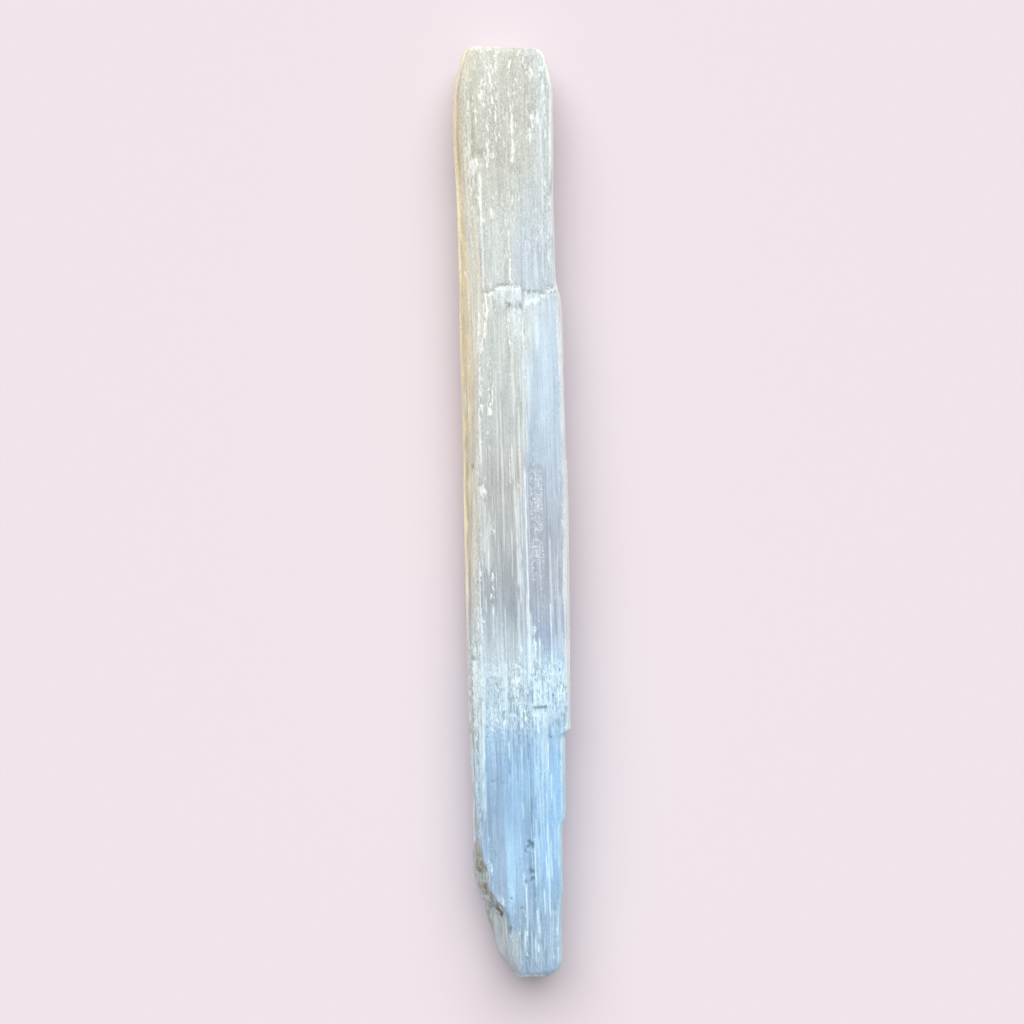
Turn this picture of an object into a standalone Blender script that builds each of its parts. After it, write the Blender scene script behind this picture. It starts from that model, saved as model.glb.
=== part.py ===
"""A raw selenite stick: one splintery bar of fibrous gypsum, lying on its flat underside.

The bar is lofted from rings that stand across its length. The stone is a bundle of parallel
fibres: the top is made of straight slats of different heights, and the sides are fluted. A
bevel runs along the upper left, with a ridge line above it. A slab of fibres lies on the
right half of the top and ends in a ragged break at both ends. The lower left corner is
broken away in steps, and both ends are ground round.

Metres, +Z up. Y runs along the fibres, and the origin is under the middle of the stick, on
the surface that it lies on.
"""

import math
import random

import bmesh
import bpy

MM = 0.001

# Driving dimensions
LENGTH = 200.0 * MM
HEIGHT = 16.0 * MM
FOOT_INSET = 2.6 * MM  # how far the flat underside stays inside the outline
RIDGE_RISE = 0.15 * MM  # height of the ridge line above the mean top
TOP_CROWN = 0.10 * MM  # how far the middle of the top bulges
TOP_ROUND = 0.35 * MM  # width of the rounding at the top's right edge
TOP_DROP = 0.45 * MM  # how far the top falls to that rounding
SLAB_RISE = 0.50 * MM  # how far the slab stands above the rest of the top
LEFT_WIDEST = 0.66  # height of the widest place on the left, as a share of the height
RIGHT_WIDEST = 0.88  # the same on the right
LOW_CORNER = 0.26  # height at which both sides turn in towards the underside
FLUTE_DEPTH = 0.36 * MM  # height of the fibre ridges on the top and the sides
FLUTE_RUN_OUT = 4.0 * MM  # a ridge dies out over this length where its fibres break off
FLUTE_REST = 0.2  # the share of a ridge's height that is left beyond its ends
FOOT_GROOVE_DEPTH = 0.35 * MM  # grooves between the lands of the underside
FRACTURE_ROUGHNESS = 0.40 * MM  # unevenness of the broken corner
TOP_END_SKEW = -0.070  # the upper end face leans, in metres of length for each metre across
RANDOM_SEED = 7

HALF = LENGTH / 2


def in_mm(*points):
    """Pairs of millimetres as pairs of metres."""
    return [(along * MM, value * MM) for along, value in points]


# Outline seen from above: (place along the stick, x of the edge). The breaks in the right
# edge are the ends of the slab and of a thinner splinter below it.
LEFT_EDGE = in_mm(
    (100.0, -7.1), (99.3, -8.2), (96.5, -8.95), (94.0, -9.85), (91.0, -10.45), (88.0, -10.8),
    (79.0, -11.05), (69.0, -10.65), (52.0, -10.75), (35.0, -11.0), (13.0, -11.0), (-8.0, -11.25),
    (-44.0, -11.33), (-62.0, -11.1), (-77.5, -11.15), (-79.0, -10.9), (-80.6, -10.57),
    (-82.0, -10.24), (-83.1, -9.74), (-84.05, -8.9), (-84.8, -8.7), (-86.2, -8.65),
    (-88.4, -8.25), (-90.5, -7.5), (-94.5, -6.65), (-98.0, -4.75), (-100.0, -3.1),
)
RIGHT_EDGE = in_mm(
    (100.0, 7.8), (99.0, 8.8), (96.3, 9.6), (93.0, 10.25), (89.5, 10.55), (83.5, 10.45),
    (64.0, 9.95), (49.5, 10.05), (47.6, 10.45), (45.4, 10.95), (42.0, 11.1), (34.5, 11.25),
    (11.5, 11.25), (5.3, 11.33), (-18.8, 10.95), (-45.3, 10.4), (-46.9, 10.35), (-47.3, 9.75),
    (-48.1, 9.2), (-58.2, 8.95), (-66.4, 8.7), (-67.4, 8.2), (-71.7, 7.9), (-79.6, 7.8),
    (-88.9, 7.2), (-96.4, 7.1), (-98.6, 6.5), (-100.0, 4.6),
)

# Long edges on the upper left: the side meets the bevel at BEVEL_EDGE, and the bevel meets
# the top at RIDGE_LINE. Below -70 mm both follow the break at the lower left corner.
BEVEL_EDGE = in_mm(
    (100.0, -6.6), (97.5, -8.5), (89.0, -9.3), (69.5, -8.7), (46.0, -7.3), (30.0, -8.1),
    (13.5, -8.6), (-8.0, -9.6), (-30.0, -10.4), (-66.0, -10.4), (-72.0, -10.2), (-76.0, -9.8),
    (-79.0, -9.2), (-82.0, -8.5), (-85.5, -6.9), (-90.0, -5.9), (-95.0, -5.0), (-100.0, -2.6),
)
RIDGE_LINE = in_mm(
    (100.0, -5.2), (89.0, -6.4), (57.0, -5.5), (43.5, -5.1), (30.0, -6.9), (7.0, -7.6),
    (-19.0, -8.0), (-40.0, -8.4), (-66.0, -8.5), (-71.0, -9.2), (-74.0, -9.0), (-76.2, -8.4),
    (-77.6, -7.8), (-80.3, -7.45), (-82.1, -7.0), (-83.2, -6.4), (-84.9, -4.8), (-86.5, -4.1),
    (-89.4, -3.8), (-95.0, -3.2), (-100.0, -1.6),
)

# Height of the bevel's outer edge as a share of the height: the broken corner drops lower.
BEVEL_HEIGHT = [
    (HALF, 0.90), (-68.0 * MM, 0.90), (-76.0 * MM, 0.86), (-83.0 * MM, 0.83),
    (-86.0 * MM, 0.80), (-94.0 * MM, 0.84), (-HALF, 0.88),
]

# How the top and the underside round off towards the ends: (place, share of HEIGHT).
TOP_FALL = [
    (HALF, 0.88), (99.5 * MM, 0.912), (98.5 * MM, 0.932), (96.0 * MM, 0.948), (93.0 * MM, 0.957),
    (86.0 * MM, 0.967), (48.0 * MM, 0.957), (-30.0 * MM, 0.960), (-70.0 * MM, 0.953),
    (-88.0 * MM, 0.942), (-95.0 * MM, 0.930), (-98.0 * MM, 0.915), (-99.4 * MM, 0.890),
    (-HALF, 0.85),
]
FOOT_LIFT = [
    (HALF, 0.15), (99.0 * MM, 0.075), (96.5 * MM, 0.02), (94.0 * MM, 0.0), (-93.0 * MM, 0.0),
    (-96.0 * MM, 0.02), (-98.6 * MM, 0.07), (-HALF, 0.15),
]

# The top is a bundle of slats that run straight along the fibres, and each one stands a little
# above or below its neighbours until it breaks off: (x of its left side, height, from, to).
SLATS = [
    (x * MM, height * MM, start * MM, end * MM)
    for x, height, start, end in (
        (-7.0, 0.14, 100.0, -64.0), (-5.8, -0.20, 79.0, 33.0), (-4.7, 0.16, 63.0, -58.0),
        (-3.3, -0.12, 42.0, -86.0), (-2.1, 0.20, 97.0, 5.0), (-0.8, -0.16, 58.0, -42.0),
        (0.8, 0.12, 25.0, -79.0), (2.5, -0.06, 100.0, -100.0), (3.8, 0.16, 88.0, -34.0),
        (5.2, -0.16, 44.0, -86.0), (6.6, 0.14, 20.0, -36.0), (7.9, -0.14, 92.0, 3.0),
        (9.1, 0.12, 40.0, -66.0),
    )
]
SLAT_GAP = 0.30 * MM  # where the stick narrows, the slats crowd together no closer than this
RISER_HALF_WIDTH = 0.06 * MM  # half the width of the steep side between two slats

# The slab on the top right, from the eighth slat on, and the small plate beside its upper end,
# from the fourth slat to the slab.
SLAB_SLAT = 7
PLATE_SLAT = 3
PLATE_RISE = 0.32 * MM
PLATE_END = 43.3 * MM
# The slab's two ragged ends run across the fibres: (x, place along).
SLAB_TOP_BREAK = in_mm(
    (-12.0, 47.6), (-3.6, 47.8), (2.6, 47.9), (3.0, 43.7), (4.1, 44.6), (5.4, 45.0),
    (6.5, 45.5), (7.5, 46.3), (8.7, 47.0), (10.1, 47.2), (12.0, 47.4),
)
SLAB_LOW_BREAK = in_mm(
    (-12.0, -45.5), (2.4, -42.0), (5.6, -41.9), (6.0, -48.5), (8.3, -48.2), (9.2, -47.4),
    (12.0, -46.9),
)
TOP_BREAK_AT = 47.6 * MM  # where the rings bend to follow SLAB_TOP_BREAK
LOW_BREAK_AT = -47.0 * MM
BREAK_HALF_WIDTH = 0.16 * MM  # half the run of the steep face at a break
BREAK_REACH = 9.0 * MM  # the rings are bent this far to each side of a break

# Hollows: (x, place along, radius, depth).
PITS = [
    (1.2 * MM, -71.7 * MM, 1.5 * MM, 0.5 * MM),
    (1.3 * MM, -78.0 * MM, 1.5 * MM, 0.5 * MM),
    (-6.0 * MM, -86.0 * MM, 1.6 * MM, 0.9 * MM),
    (-5.4 * MM, 76.0 * MM, 2.0 * MM, 0.4 * MM),
]

# Rings, as places along the stick. They stand close where the form changes quickly.
STATIONS = [
    at * MM
    for at in (
        100, 99.65, 99.0, 98.0, 96.4, 94.0, 91.0, 88.0, 83.5, 79.6, 78.0, 76.0, 72.0, 67.0,
        63.5, 62.5, 58.4, 57.2, 53.0, 50.2, 48.6, 47.76, 47.44, 46.0, 44.3, 43.45, 43.15,
        42.0, 38.5, 34.5, 32.4, 28.0, 25.4, 24.2, 19.5, 13.0, 5.4, 4.4, -2.0, -9.0, -17.0,
        -25.0, -33.4, -34.4, -38.0, -41.6, -42.6, -45.0, -46.84, -47.16, -48.1, -50.5, -54.0,
        -57.6, -58.6, -63.6, -64.6, -66.5, -67.4, -70.0, -71.7, -74.0, -76.2, -77.8, -79.2,
        -80.6, -82.0, -83.1, -84.0, -84.8, -86.2, -87.5, -89.4, -91.3, -93.4, -95.2, -96.8,
        -98.1, -99.1, -99.7, -100,
    )
]
CAP_RINGS = (0.70, 0.36)  # the end faces' inner rings, as shares of the outer one

# The number of flat strips that each stretch of the section has between its corners.
SIDE_LOW, SIDE_HIGH, EDGE = 4, 5, 2
FLUTES = 2 * (SIDE_LOW + SIDE_HIGH + 2 * EDGE)  # enough for both sides

# The underside's flat lands and the grooves between them, from right to left:
# (share of the width, share of FOOT_GROOVE_DEPTH).
UNDERSIDE = (
    (0.12, 0), (0.16, 1), (0.20, 0), (0.36, 0), (0.40, 1), (0.44, 0), (0.66, 0), (0.70, 1),
    (0.75, 0), (0.90, 0), (0.93, 1), (0.96, 0),
)


def smooth_curve(table):
    """A function through the table's points with no overshoot (a monotone cubic)."""
    points = sorted(table)
    xs = [x for x, _ in points]
    ys = [y for _, y in points]
    runs = [b - a for a, b in zip(xs, xs[1:])]
    slopes = [(b - a) / run for a, b, run in zip(ys, ys[1:], runs)]
    tangents = [slopes[0]]
    for before, after in zip(slopes, slopes[1:]):
        same_way = before * after > 0
        tangents.append(2 * before * after / (before + after) if same_way else 0.0)
    tangents.append(slopes[-1])

    def value(x):
        if x <= xs[0]:
            return ys[0]
        if x >= xs[-1]:
            return ys[-1]
        i = max(k for k, start in enumerate(xs) if start <= x)
        run = runs[i]
        t = (x - xs[i]) / run
        return (
            (1 + 2 * t) * (1 - t) ** 2 * ys[i]
            + t * (1 - t) ** 2 * run * tangents[i]
            + t * t * (3 - 2 * t) * ys[i + 1]
            + t * t * (t - 1) * run * tangents[i + 1]
        )

    return value


def straight_curve(table):
    """A function through the table's points with straight runs between them."""
    points = sorted(table)

    def value(x):
        for (x0, y0), (x1, y1) in zip(points, points[1:]):
            if x <= x1:
                share = max(0.0, (x - x0) / (x1 - x0))
                return y0 + (y1 - y0) * share
        return points[-1][1]

    return value


left_edge = smooth_curve(LEFT_EDGE)
right_edge = smooth_curve(RIGHT_EDGE)
bevel_edge = smooth_curve(BEVEL_EDGE)
ridge_line = smooth_curve(RIDGE_LINE)
bevel_height = smooth_curve(BEVEL_HEIGHT)
top_fall = smooth_curve(TOP_FALL)
foot_lift = smooth_curve(FOOT_LIFT)
slab_top_break = straight_curve(SLAB_TOP_BREAK)
slab_low_break = straight_curve(SLAB_LOW_BREAK)


def sides(y):
    """The section's corners at y on the left and on the right of the top.

    Each is (x, z, strips to the next corner, share of the flute depth). The left ones go
    from the foot up to the ridge, and the right ones go down to the other foot.
    """
    left, right = left_edge(y), right_edge(y)
    top, foot = HEIGHT * top_fall(y), HEIGHT * foot_lift(y)
    tall = top - foot
    bevel_x = min(max(bevel_edge(y), left + 0.25 * MM), ridge_line(y) - 0.5 * MM)
    raised = SLAB_RISE if LOW_BREAK_AT < y < TOP_BREAK_AT else 0.0
    going_up = [
        (left + FOOT_INSET, foot, SIDE_LOW, 0.5),
        (left + 0.25 * MM, foot + LOW_CORNER * tall, EDGE, 0.6),
        (left, foot + LEFT_WIDEST * tall, SIDE_HIGH, 0.8),
        (bevel_x, foot + tall * bevel_height(y), EDGE, 0.7),
        (ridge_line(y), top + RIDGE_RISE, 1, 0.0),
    ]
    going_down = [
        (right - TOP_ROUND, top - TOP_DROP + raised, EDGE, 0.5),
        (right, foot + RIGHT_WIDEST * tall, SIDE_HIGH, 0.8),
        (right - 0.35 * MM, foot + LOW_CORNER * tall, SIDE_LOW, 0.5),
        (right - FOOT_INSET, foot, 1, 0.0),
    ]
    return going_up, going_down


def slat_height(k, y):
    """How far slat k stands above the mean top at y; -1 is the strip left of the first one."""
    if k < 0:
        return 0.0
    _, height, start, end = SLATS[k]
    rise = height if end < y < start else 0.0
    if k >= SLAB_SLAT and LOW_BREAK_AT < y < TOP_BREAK_AT:
        rise += SLAB_RISE
    if PLATE_SLAT <= k < SLAB_SLAT and PLATE_END < y < TOP_BREAK_AT:
        rise += PLATE_RISE
    return rise


def top_points(y):
    """The points of the slatted top at y, from left to right: two at each riser."""
    low_x = ridge_line(y) + SLAT_GAP
    high_x = right_edge(y) - TOP_ROUND - SLAT_GAP
    top = HEIGHT * top_fall(y)
    points = []
    for k, (x, *_) in enumerate(SLATS):
        x = max(x, low_x + k * SLAT_GAP)
        x = min(x, high_x - (len(SLATS) - 1 - k) * SLAT_GAP)
        share = (x - low_x) / (high_x - low_x)
        crown = TOP_CROWN * (1 - (2 * share - 1) ** 2) - TOP_DROP * share**4
        for side, slat in ((-1, k - 1), (1, k)):
            points.append((x + side * RISER_HALF_WIDTH, top + crown + slat_height(slat, y)))
    return points


def flutes(count, chance):
    """A ridge or a groove for each point round the ring: (size, where it starts, where it ends).

    A fibre bundle seldom runs the whole length: it breaks off, and a lower one goes on.
    """
    ridges = []
    for k in range(count):
        size = (-1) ** k * chance.uniform(0.4, 1.0)
        middle = chance.uniform(-0.7, 0.7) * HALF
        reach = chance.uniform(0.35, 1.1) * HALF
        ridges.append((size, middle - reach, middle + reach))
    return ridges


def flute_height(ridge, y):
    """The height of one ridge or groove at y, as a share of FLUTE_DEPTH."""
    size, start, end = ridge
    inside = min(1.0, max(0.0, min(y - start, end - y) / FLUTE_RUN_OUT))
    return size * (FLUTE_REST + (1 - FLUTE_REST) * inside)


def outward(a, b):
    """The unit vector that points out of the ring, for a strip from a to b."""
    dx, dz = b[0] - a[0], b[1] - a[1]
    length = math.hypot(dx, dz)
    return -dz / length, dx / length


def in_fracture(x, y, z):
    """Share of the broken lower left corner's roughness that a point takes."""
    if y > -70.0 * MM or z < 0.3 * HEIGHT:
        return 0.0
    past_ridge = (ridge_line(y) + 0.3 * MM - x) / (1.5 * MM)
    down_the_stick = (-70.0 * MM - y) / (6.0 * MM)
    to_the_end = (y + HALF) / (6.0 * MM)
    return max(0.0, min(1.0, past_ridge, down_the_stick, to_the_end))


def pit_depth(x, y, z):
    """How far the top is sunk at a point by the hollows in it."""
    if z < 0.55 * HEIGHT:
        return 0.0
    depth = 0.0
    for pit_x, pit_y, radius, deepest in PITS:
        near = 1 - (math.hypot(x - pit_x, y - pit_y) / radius) ** 2
        depth = max(depth, deepest * near)
    return depth


def bend(x, y):
    """How far a ring's point moves along the stick to follow the breaks and the end face."""
    moved = 0.0
    for at, line in ((TOP_BREAK_AT, slab_top_break), (LOW_BREAK_AT, slab_low_break)):
        near = max(0.0, 1 - max(0.0, abs(y - at) - BREAK_HALF_WIDTH) / BREAK_REACH)
        moved += (line(x) - at) * near
    near_end = max(0.0, 1 - (HALF - y) / (10 * MM))
    return moved + TOP_END_SKEW * (x + 7.1 * MM) * near_end


def fluted(corners, y, ridges, chance):
    """Points along the corners given, each strip's start moved out or in by its flute."""
    points = []
    for here, after in zip(corners, corners[1:]):
        strips, flute_share = here[2], here[3]
        nx, nz = outward(here, after)
        for step in range(strips):
            t = step / strips
            x = here[0] + (after[0] - here[0]) * t
            z = here[1] + (after[1] - here[1]) * t
            rough = chance.uniform(-1.0, 1.0)
            if step:
                out = flute_height(ridges[len(points)], y) * flute_share * FLUTE_DEPTH
                out += rough * FRACTURE_ROUGHNESS * in_fracture(x, y, z)
                x += nx * out
                z += nz * out
            points.append((x, z))
    points.append(corners[-1][:2])
    return points


def ring(y, ridges, chance):
    """The points round the stick at y: up the left side, over the top, down and back below."""
    going_up, going_down = sides(y)
    half_way = len(ridges) // 2
    section = fluted(going_up, y, ridges[:half_way], chance)
    section += top_points(y)
    section += fluted(going_down, y, ridges[half_way:], chance)
    (left_foot, foot), (right_foot, _) = section[0], section[-1]
    for share, groove in UNDERSIDE:
        x = right_foot + (left_foot - right_foot) * share
        section.append((x, foot + groove * FOOT_GROOVE_DEPTH))
    return [(x, y + bend(x, y), z - pit_depth(x, y, z)) for x, z in section]


def cap_ring(points, share):
    """A ring inside an end face: the outer ring drawn in towards its middle."""
    middle = [sum(axis) / len(points) for axis in zip(*points)]
    return [[m + (c - m) * share for m, c in zip(middle, point)] for point in points]


def selenite_stick():
    """The whole stick as one closed mesh."""
    chance = random.Random(RANDOM_SEED)
    ridges = flutes(FLUTES, chance)
    body = [ring(y, ridges, chance) for y in STATIONS]
    upper_face = [cap_ring(body[0], share) for share in CAP_RINGS]
    lower_face = [cap_ring(body[-1], share) for share in CAP_RINGS]
    rings = upper_face[::-1] + body + lower_face
    around = len(rings[0])

    form = bmesh.new()
    rows = [[form.verts.new(point) for point in points] for points in rings]
    for row, below in zip(rows, rows[1:]):
        for k in range(around):
            after = (k + 1) % around
            form.faces.new((row[k], row[after], below[after], below[k]))
    form.faces.new(rows[0][::-1])
    form.faces.new(rows[-1])
    bmesh.ops.triangulate(form, faces=form.faces[:])
    bmesh.ops.recalc_face_normals(form, faces=form.faces[:])
    mesh = bpy.data.meshes.new("selenite_stick")
    form.to_mesh(mesh)
    form.free()
    return mesh


def satin_selenite():
    """Milky, silky gypsum: pale blue grey, a little gloss, and light that enters it."""
    material = bpy.data.materials.new("satin_selenite")
    material.use_nodes = True
    shader = material.node_tree.nodes["Principled BSDF"]
    shader.inputs["Base Color"].default_value = (0.60, 0.68, 0.74, 1.0)
    shader.inputs["Roughness"].default_value = 0.42
    shader.inputs["Metallic"].default_value = 0.0
    shader.inputs["IOR"].default_value = 1.52
    shader.inputs["Subsurface Weight"].default_value = 0.3
    shader.inputs["Subsurface Scale"].default_value = 3.0 * MM
    return material


def main():
    for old in list(bpy.data.objects):
        bpy.data.objects.remove(old)
    stick = bpy.data.objects.new("selenite_stick", selenite_stick())
    stick.data.materials.append(satin_selenite())
    bpy.context.scene.collection.objects.link(stick)


main()
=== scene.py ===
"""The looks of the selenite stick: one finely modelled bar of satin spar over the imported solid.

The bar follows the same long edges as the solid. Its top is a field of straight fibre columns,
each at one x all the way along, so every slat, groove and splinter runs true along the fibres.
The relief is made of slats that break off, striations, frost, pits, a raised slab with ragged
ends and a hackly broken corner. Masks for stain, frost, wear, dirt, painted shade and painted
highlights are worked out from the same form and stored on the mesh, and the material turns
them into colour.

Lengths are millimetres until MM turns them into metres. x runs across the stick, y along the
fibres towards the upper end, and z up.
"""
import math
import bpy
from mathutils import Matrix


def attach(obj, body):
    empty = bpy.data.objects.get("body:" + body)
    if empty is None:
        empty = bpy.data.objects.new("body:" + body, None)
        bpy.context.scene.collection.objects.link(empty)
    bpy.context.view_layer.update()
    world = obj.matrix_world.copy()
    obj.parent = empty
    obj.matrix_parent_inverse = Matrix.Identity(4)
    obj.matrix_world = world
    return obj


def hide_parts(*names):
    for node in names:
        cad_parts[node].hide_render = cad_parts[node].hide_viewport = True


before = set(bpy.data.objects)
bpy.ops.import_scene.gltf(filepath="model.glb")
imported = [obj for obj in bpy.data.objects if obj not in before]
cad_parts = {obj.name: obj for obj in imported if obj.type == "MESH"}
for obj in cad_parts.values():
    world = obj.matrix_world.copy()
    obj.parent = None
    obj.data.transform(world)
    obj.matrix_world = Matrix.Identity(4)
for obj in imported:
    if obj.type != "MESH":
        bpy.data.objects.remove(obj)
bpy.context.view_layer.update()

from types import SimpleNamespace

import bpy
import numpy as np

MM = 0.001


# ---------------------------------------------------------------------------
# Curves and noise.

def smooth_curve(*table):
    """A function through the table's points with no overshoot (a monotone cubic)."""
    points = sorted(table)
    xs = np.array([x for x, _ in points])
    ys = np.array([y for _, y in points])
    runs = np.diff(xs)
    slopes = np.diff(ys) / runs
    before, after = slopes[:-1], slopes[1:]
    same_way = before * after > 0
    total = np.where(same_way, before + after, 1.0)
    inner = np.where(same_way, 2 * before * after / total, 0.0)
    tangents = np.concatenate([slopes[:1], inner, slopes[-1:]])

    def value(x):
        x = np.clip(x, xs[0], xs[-1])
        i = np.clip(np.searchsorted(xs, x, side="right") - 1, 0, len(runs) - 1)
        run = runs[i]
        t = (x - xs[i]) / run
        return (
            (1 + 2 * t) * (1 - t) ** 2 * ys[i]
            + t * (1 - t) ** 2 * run * tangents[i]
            + t * t * (3 - 2 * t) * ys[i + 1]
            + t * t * (t - 1) * run * tangents[i + 1]
        )

    return value


def straight_curve(*table):
    """A function through the table's points with straight runs between them."""
    xs, ys = zip(*sorted(table))
    return lambda x: np.interp(x, xs, ys)


def ease(t):
    """Smoothstep: 0 below 0, 1 above 1, and soft at both."""
    t = np.clip(t, 0.0, 1.0)
    return t * t * (3 - 2 * t)


def rise(value, start, run):
    """0 up to start, then up to 1 over the run."""
    return ease((value - start) / run)


def fall(value, start, run):
    """0 down to start, then up to 1 over the run below it."""
    return ease((start - value) / run)


def step(value, middle, run):
    """From 0 to 1 over a run that is centred on the middle."""
    return ease((value - middle) / run + 0.5)


def within(value, low, high, run):
    """1 from low to high and 0 outside, with a run centred on each."""
    return ease((high - value) / run + 0.5) * ease((value - low) / run + 0.5)


def bell(value, width):
    """1 where the value is 0, and falling off to both sides."""
    return np.exp(-(value / width) ** 2)


def lattice(i, j, seed):
    """One fixed random number from 0 to 1 for each whole-numbered place."""
    n = (i * 374761393 + j * 668265263 + seed * 974634777) & 0xFFFFFFFF
    n = ((n ^ (n >> 13)) * 1274126177) & 0xFFFFFFFF
    n = ((n ^ (n >> 16)) * 974634777) & 0xFFFFFFFF
    return (n ^ (n >> 15)) / 0xFFFFFFFF


def noise(u, v, seed):
    """Smooth random heights from -1 to 1, with about one bump in each unit square."""
    i, j = np.floor(u).astype(np.int64), np.floor(v).astype(np.int64)
    a, b = ease(u - i), ease(v - j)
    near = lattice(i, j, seed) * (1 - a) + lattice(i + 1, j, seed) * a
    far = lattice(i, j + 1, seed) * (1 - a) + lattice(i + 1, j + 1, seed) * a
    return 2 * (near * (1 - b) + far * b) - 1


def splinters(fibre, along, width, length, seed):
    """Flat-topped strips from -1 to 1 high: each bundle keeps its height until it breaks off."""
    bundle = np.floor(fibre / width + 0.35 * np.sin(fibre * 2.1 / width + seed)).astype(np.int64)
    start = 40 * lattice(bundle, bundle * 0, seed)
    piece = np.floor(along / length + start).astype(np.int64)
    return 2 * lattice(bundle, piece, seed + 1) - 1


def torn(x, width, seed):
    """Flat steps from -1 to 1, one for each bundle of fibres that tore off at its own place."""
    bundle = np.floor(x / width).astype(np.int64)
    return 2 * lattice(bundle, 0 * bundle, seed) - 1


# ---------------------------------------------------------------------------
# Form. These lengths and curves are the solid's own, but for TOP_ROUND, PLATE_RISE and the
# start of the slat at x 2.5, which the finer top sets anew. A curve's points are (place along,
# value) unless it says otherwise.

LENGTH = 200.0
HEIGHT = 16.0
HALF = LENGTH / 2
FOOT_INSET = 2.6  # how far the flat underside stays inside the outline
RIDGE_RISE = 0.15
TOP_CROWN = 0.10
TOP_ROUND = 0.48  # the width of the rounding at the top's right edge
TOP_DROP = 0.45  # and how far the top falls to it
SLAB_RISE = 0.50
LEFT_WIDEST = 0.66  # how far up the height each side is widest
RIGHT_WIDEST = 0.88
LOW_CORNER = 0.26  # how far up both sides turn in towards the underside
TOP_END_SKEW = -0.070  # how much the upper end face leans

left_edge = smooth_curve(
    (100, -7.1), (99.3, -8.2), (96.5, -8.95), (94, -9.85), (91, -10.45), (88, -10.8),
    (79, -11.05), (69, -10.65), (52, -10.75), (35, -11), (13, -11), (-8, -11.25), (-44, -11.33),
    (-62, -11.1), (-77.5, -11.15), (-79, -10.9), (-80.6, -10.57), (-82, -10.24), (-83.1, -9.74),
    (-84.05, -8.9), (-84.8, -8.7), (-86.2, -8.65), (-88.4, -8.25), (-90.5, -7.5), (-94.5, -6.65),
    (-98, -4.75), (-100, -3.1),
)
right_edge = smooth_curve(
    (100, 7.8), (99, 8.8), (96.3, 9.6), (93, 10.25), (89.5, 10.55), (83.5, 10.45), (64, 9.95),
    (49.5, 10.05), (47.6, 10.45), (45.4, 10.95), (42, 11.1), (34.5, 11.25), (11.5, 11.25),
    (5.3, 11.33), (-18.8, 10.95), (-45.3, 10.4), (-46.9, 10.35), (-47.3, 9.75), (-48.1, 9.2),
    (-58.2, 8.95), (-66.4, 8.7), (-67.4, 8.2), (-71.7, 7.9), (-79.6, 7.8), (-88.9, 7.2),
    (-96.4, 7.1), (-98.6, 6.5), (-100, 4.6),
)
bevel_edge = smooth_curve(
    (100, -6.6), (97.5, -8.5), (89, -9.3), (69.5, -8.7), (46, -7.3), (30, -8.1), (13.5, -8.6),
    (-8, -9.6), (-30, -10.4), (-66, -10.4), (-72, -10.2), (-76, -9.8), (-79, -9.2), (-82, -8.5),
    (-85.5, -6.9), (-90, -5.9), (-95, -5), (-100, -2.6),
)
ridge_line = smooth_curve(
    (100, -5.2), (89, -6.4), (57, -5.5), (43.5, -5.1), (30, -6.9), (7, -7.6), (-19, -8),
    (-40, -8.4), (-66, -8.5), (-71, -9.2), (-74, -9), (-76.2, -8.4), (-77.6, -7.8),
    (-80.3, -7.45), (-82.1, -7), (-83.2, -6.4), (-84.9, -4.8), (-86.5, -4.1), (-89.4, -3.8),
    (-95, -3.2), (-100, -1.6),
)
bevel_height = smooth_curve(
    (100, 0.9), (-68, 0.9), (-76, 0.86), (-83, 0.83), (-86, 0.8), (-94, 0.84), (-100, 0.88),
)
top_fall = smooth_curve(
    (100, 0.88), (99.5, 0.912), (98.5, 0.932), (96, 0.948), (93, 0.957), (86, 0.967), (48, 0.957),
    (-30, 0.96), (-70, 0.953), (-88, 0.942), (-95, 0.93), (-98, 0.915), (-99.4, 0.89),
    (-100, 0.85),
)
foot_lift = smooth_curve(
    (100, 0.15), (99, 0.075), (96.5, 0.02), (94, 0), (-93, 0), (-96, 0.02), (-98.6, 0.07),
    (-100, 0.15),
)

# The slats of the top: (x of the left side, height, from, to). SLAT_SHARE of the height is
# modelled below the middle, and a third of that in the upper part.
SLATS = (
    (-7, 0.14, 100, -64), (-5.8, -0.2, 79, 33), (-4.7, 0.16, 63, -58), (-3.3, -0.12, 42, -86),
    (-2.1, 0.2, 97, 5), (-0.8, -0.16, 58, -42), (0.8, 0.12, 25, -79), (2.5, -0.06, 42, -100),
    (3.8, 0.16, 88, -34), (5.2, -0.16, 44, -86), (6.6, 0.14, 20, -36), (7.9, -0.14, 92, 3),
    (9.1, 0.12, 40, -66),
)
SLAT_SHARE = 0.7
SLAB_LEFT = 2.5
PLATE_LEFT = -3.3
PLATE_RISE = 0.22
PLATE_END = 43.3
PLATE_TORN_FROM = -0.8

# The slab's ragged ends across the fibres: (x, place along).
slab_top_break = straight_curve(
    (-12, 47.6), (-3.6, 47.8), (2.6, 47.9), (3, 43.7), (4.1, 44.6), (5.4, 45), (6.5, 45.5),
    (7.5, 46.3), (8.7, 47), (10.1, 47.2), (12, 47.4),
)
slab_low_break = straight_curve(
    (-12, -45.5), (2.4, -42), (5.6, -41.9), (6, -48.5), (8.3, -48.2), (9.2, -47.4), (12, -46.9),
)
TOP_BREAK_AT = 47.6
LOW_BREAK_AT = -47.0
BREAK_HALF_WIDTH = 0.16
BREAK_REACH = 9.0
UPPER_PART_AT = 46.0  # where the part above the slab starts, with its worn look
LOW_STEP_AT = -42.0  # where the slab's step starts to sink towards its lower break
CORNER_BREAK_AT = -70.0  # where the broken corner starts

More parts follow.
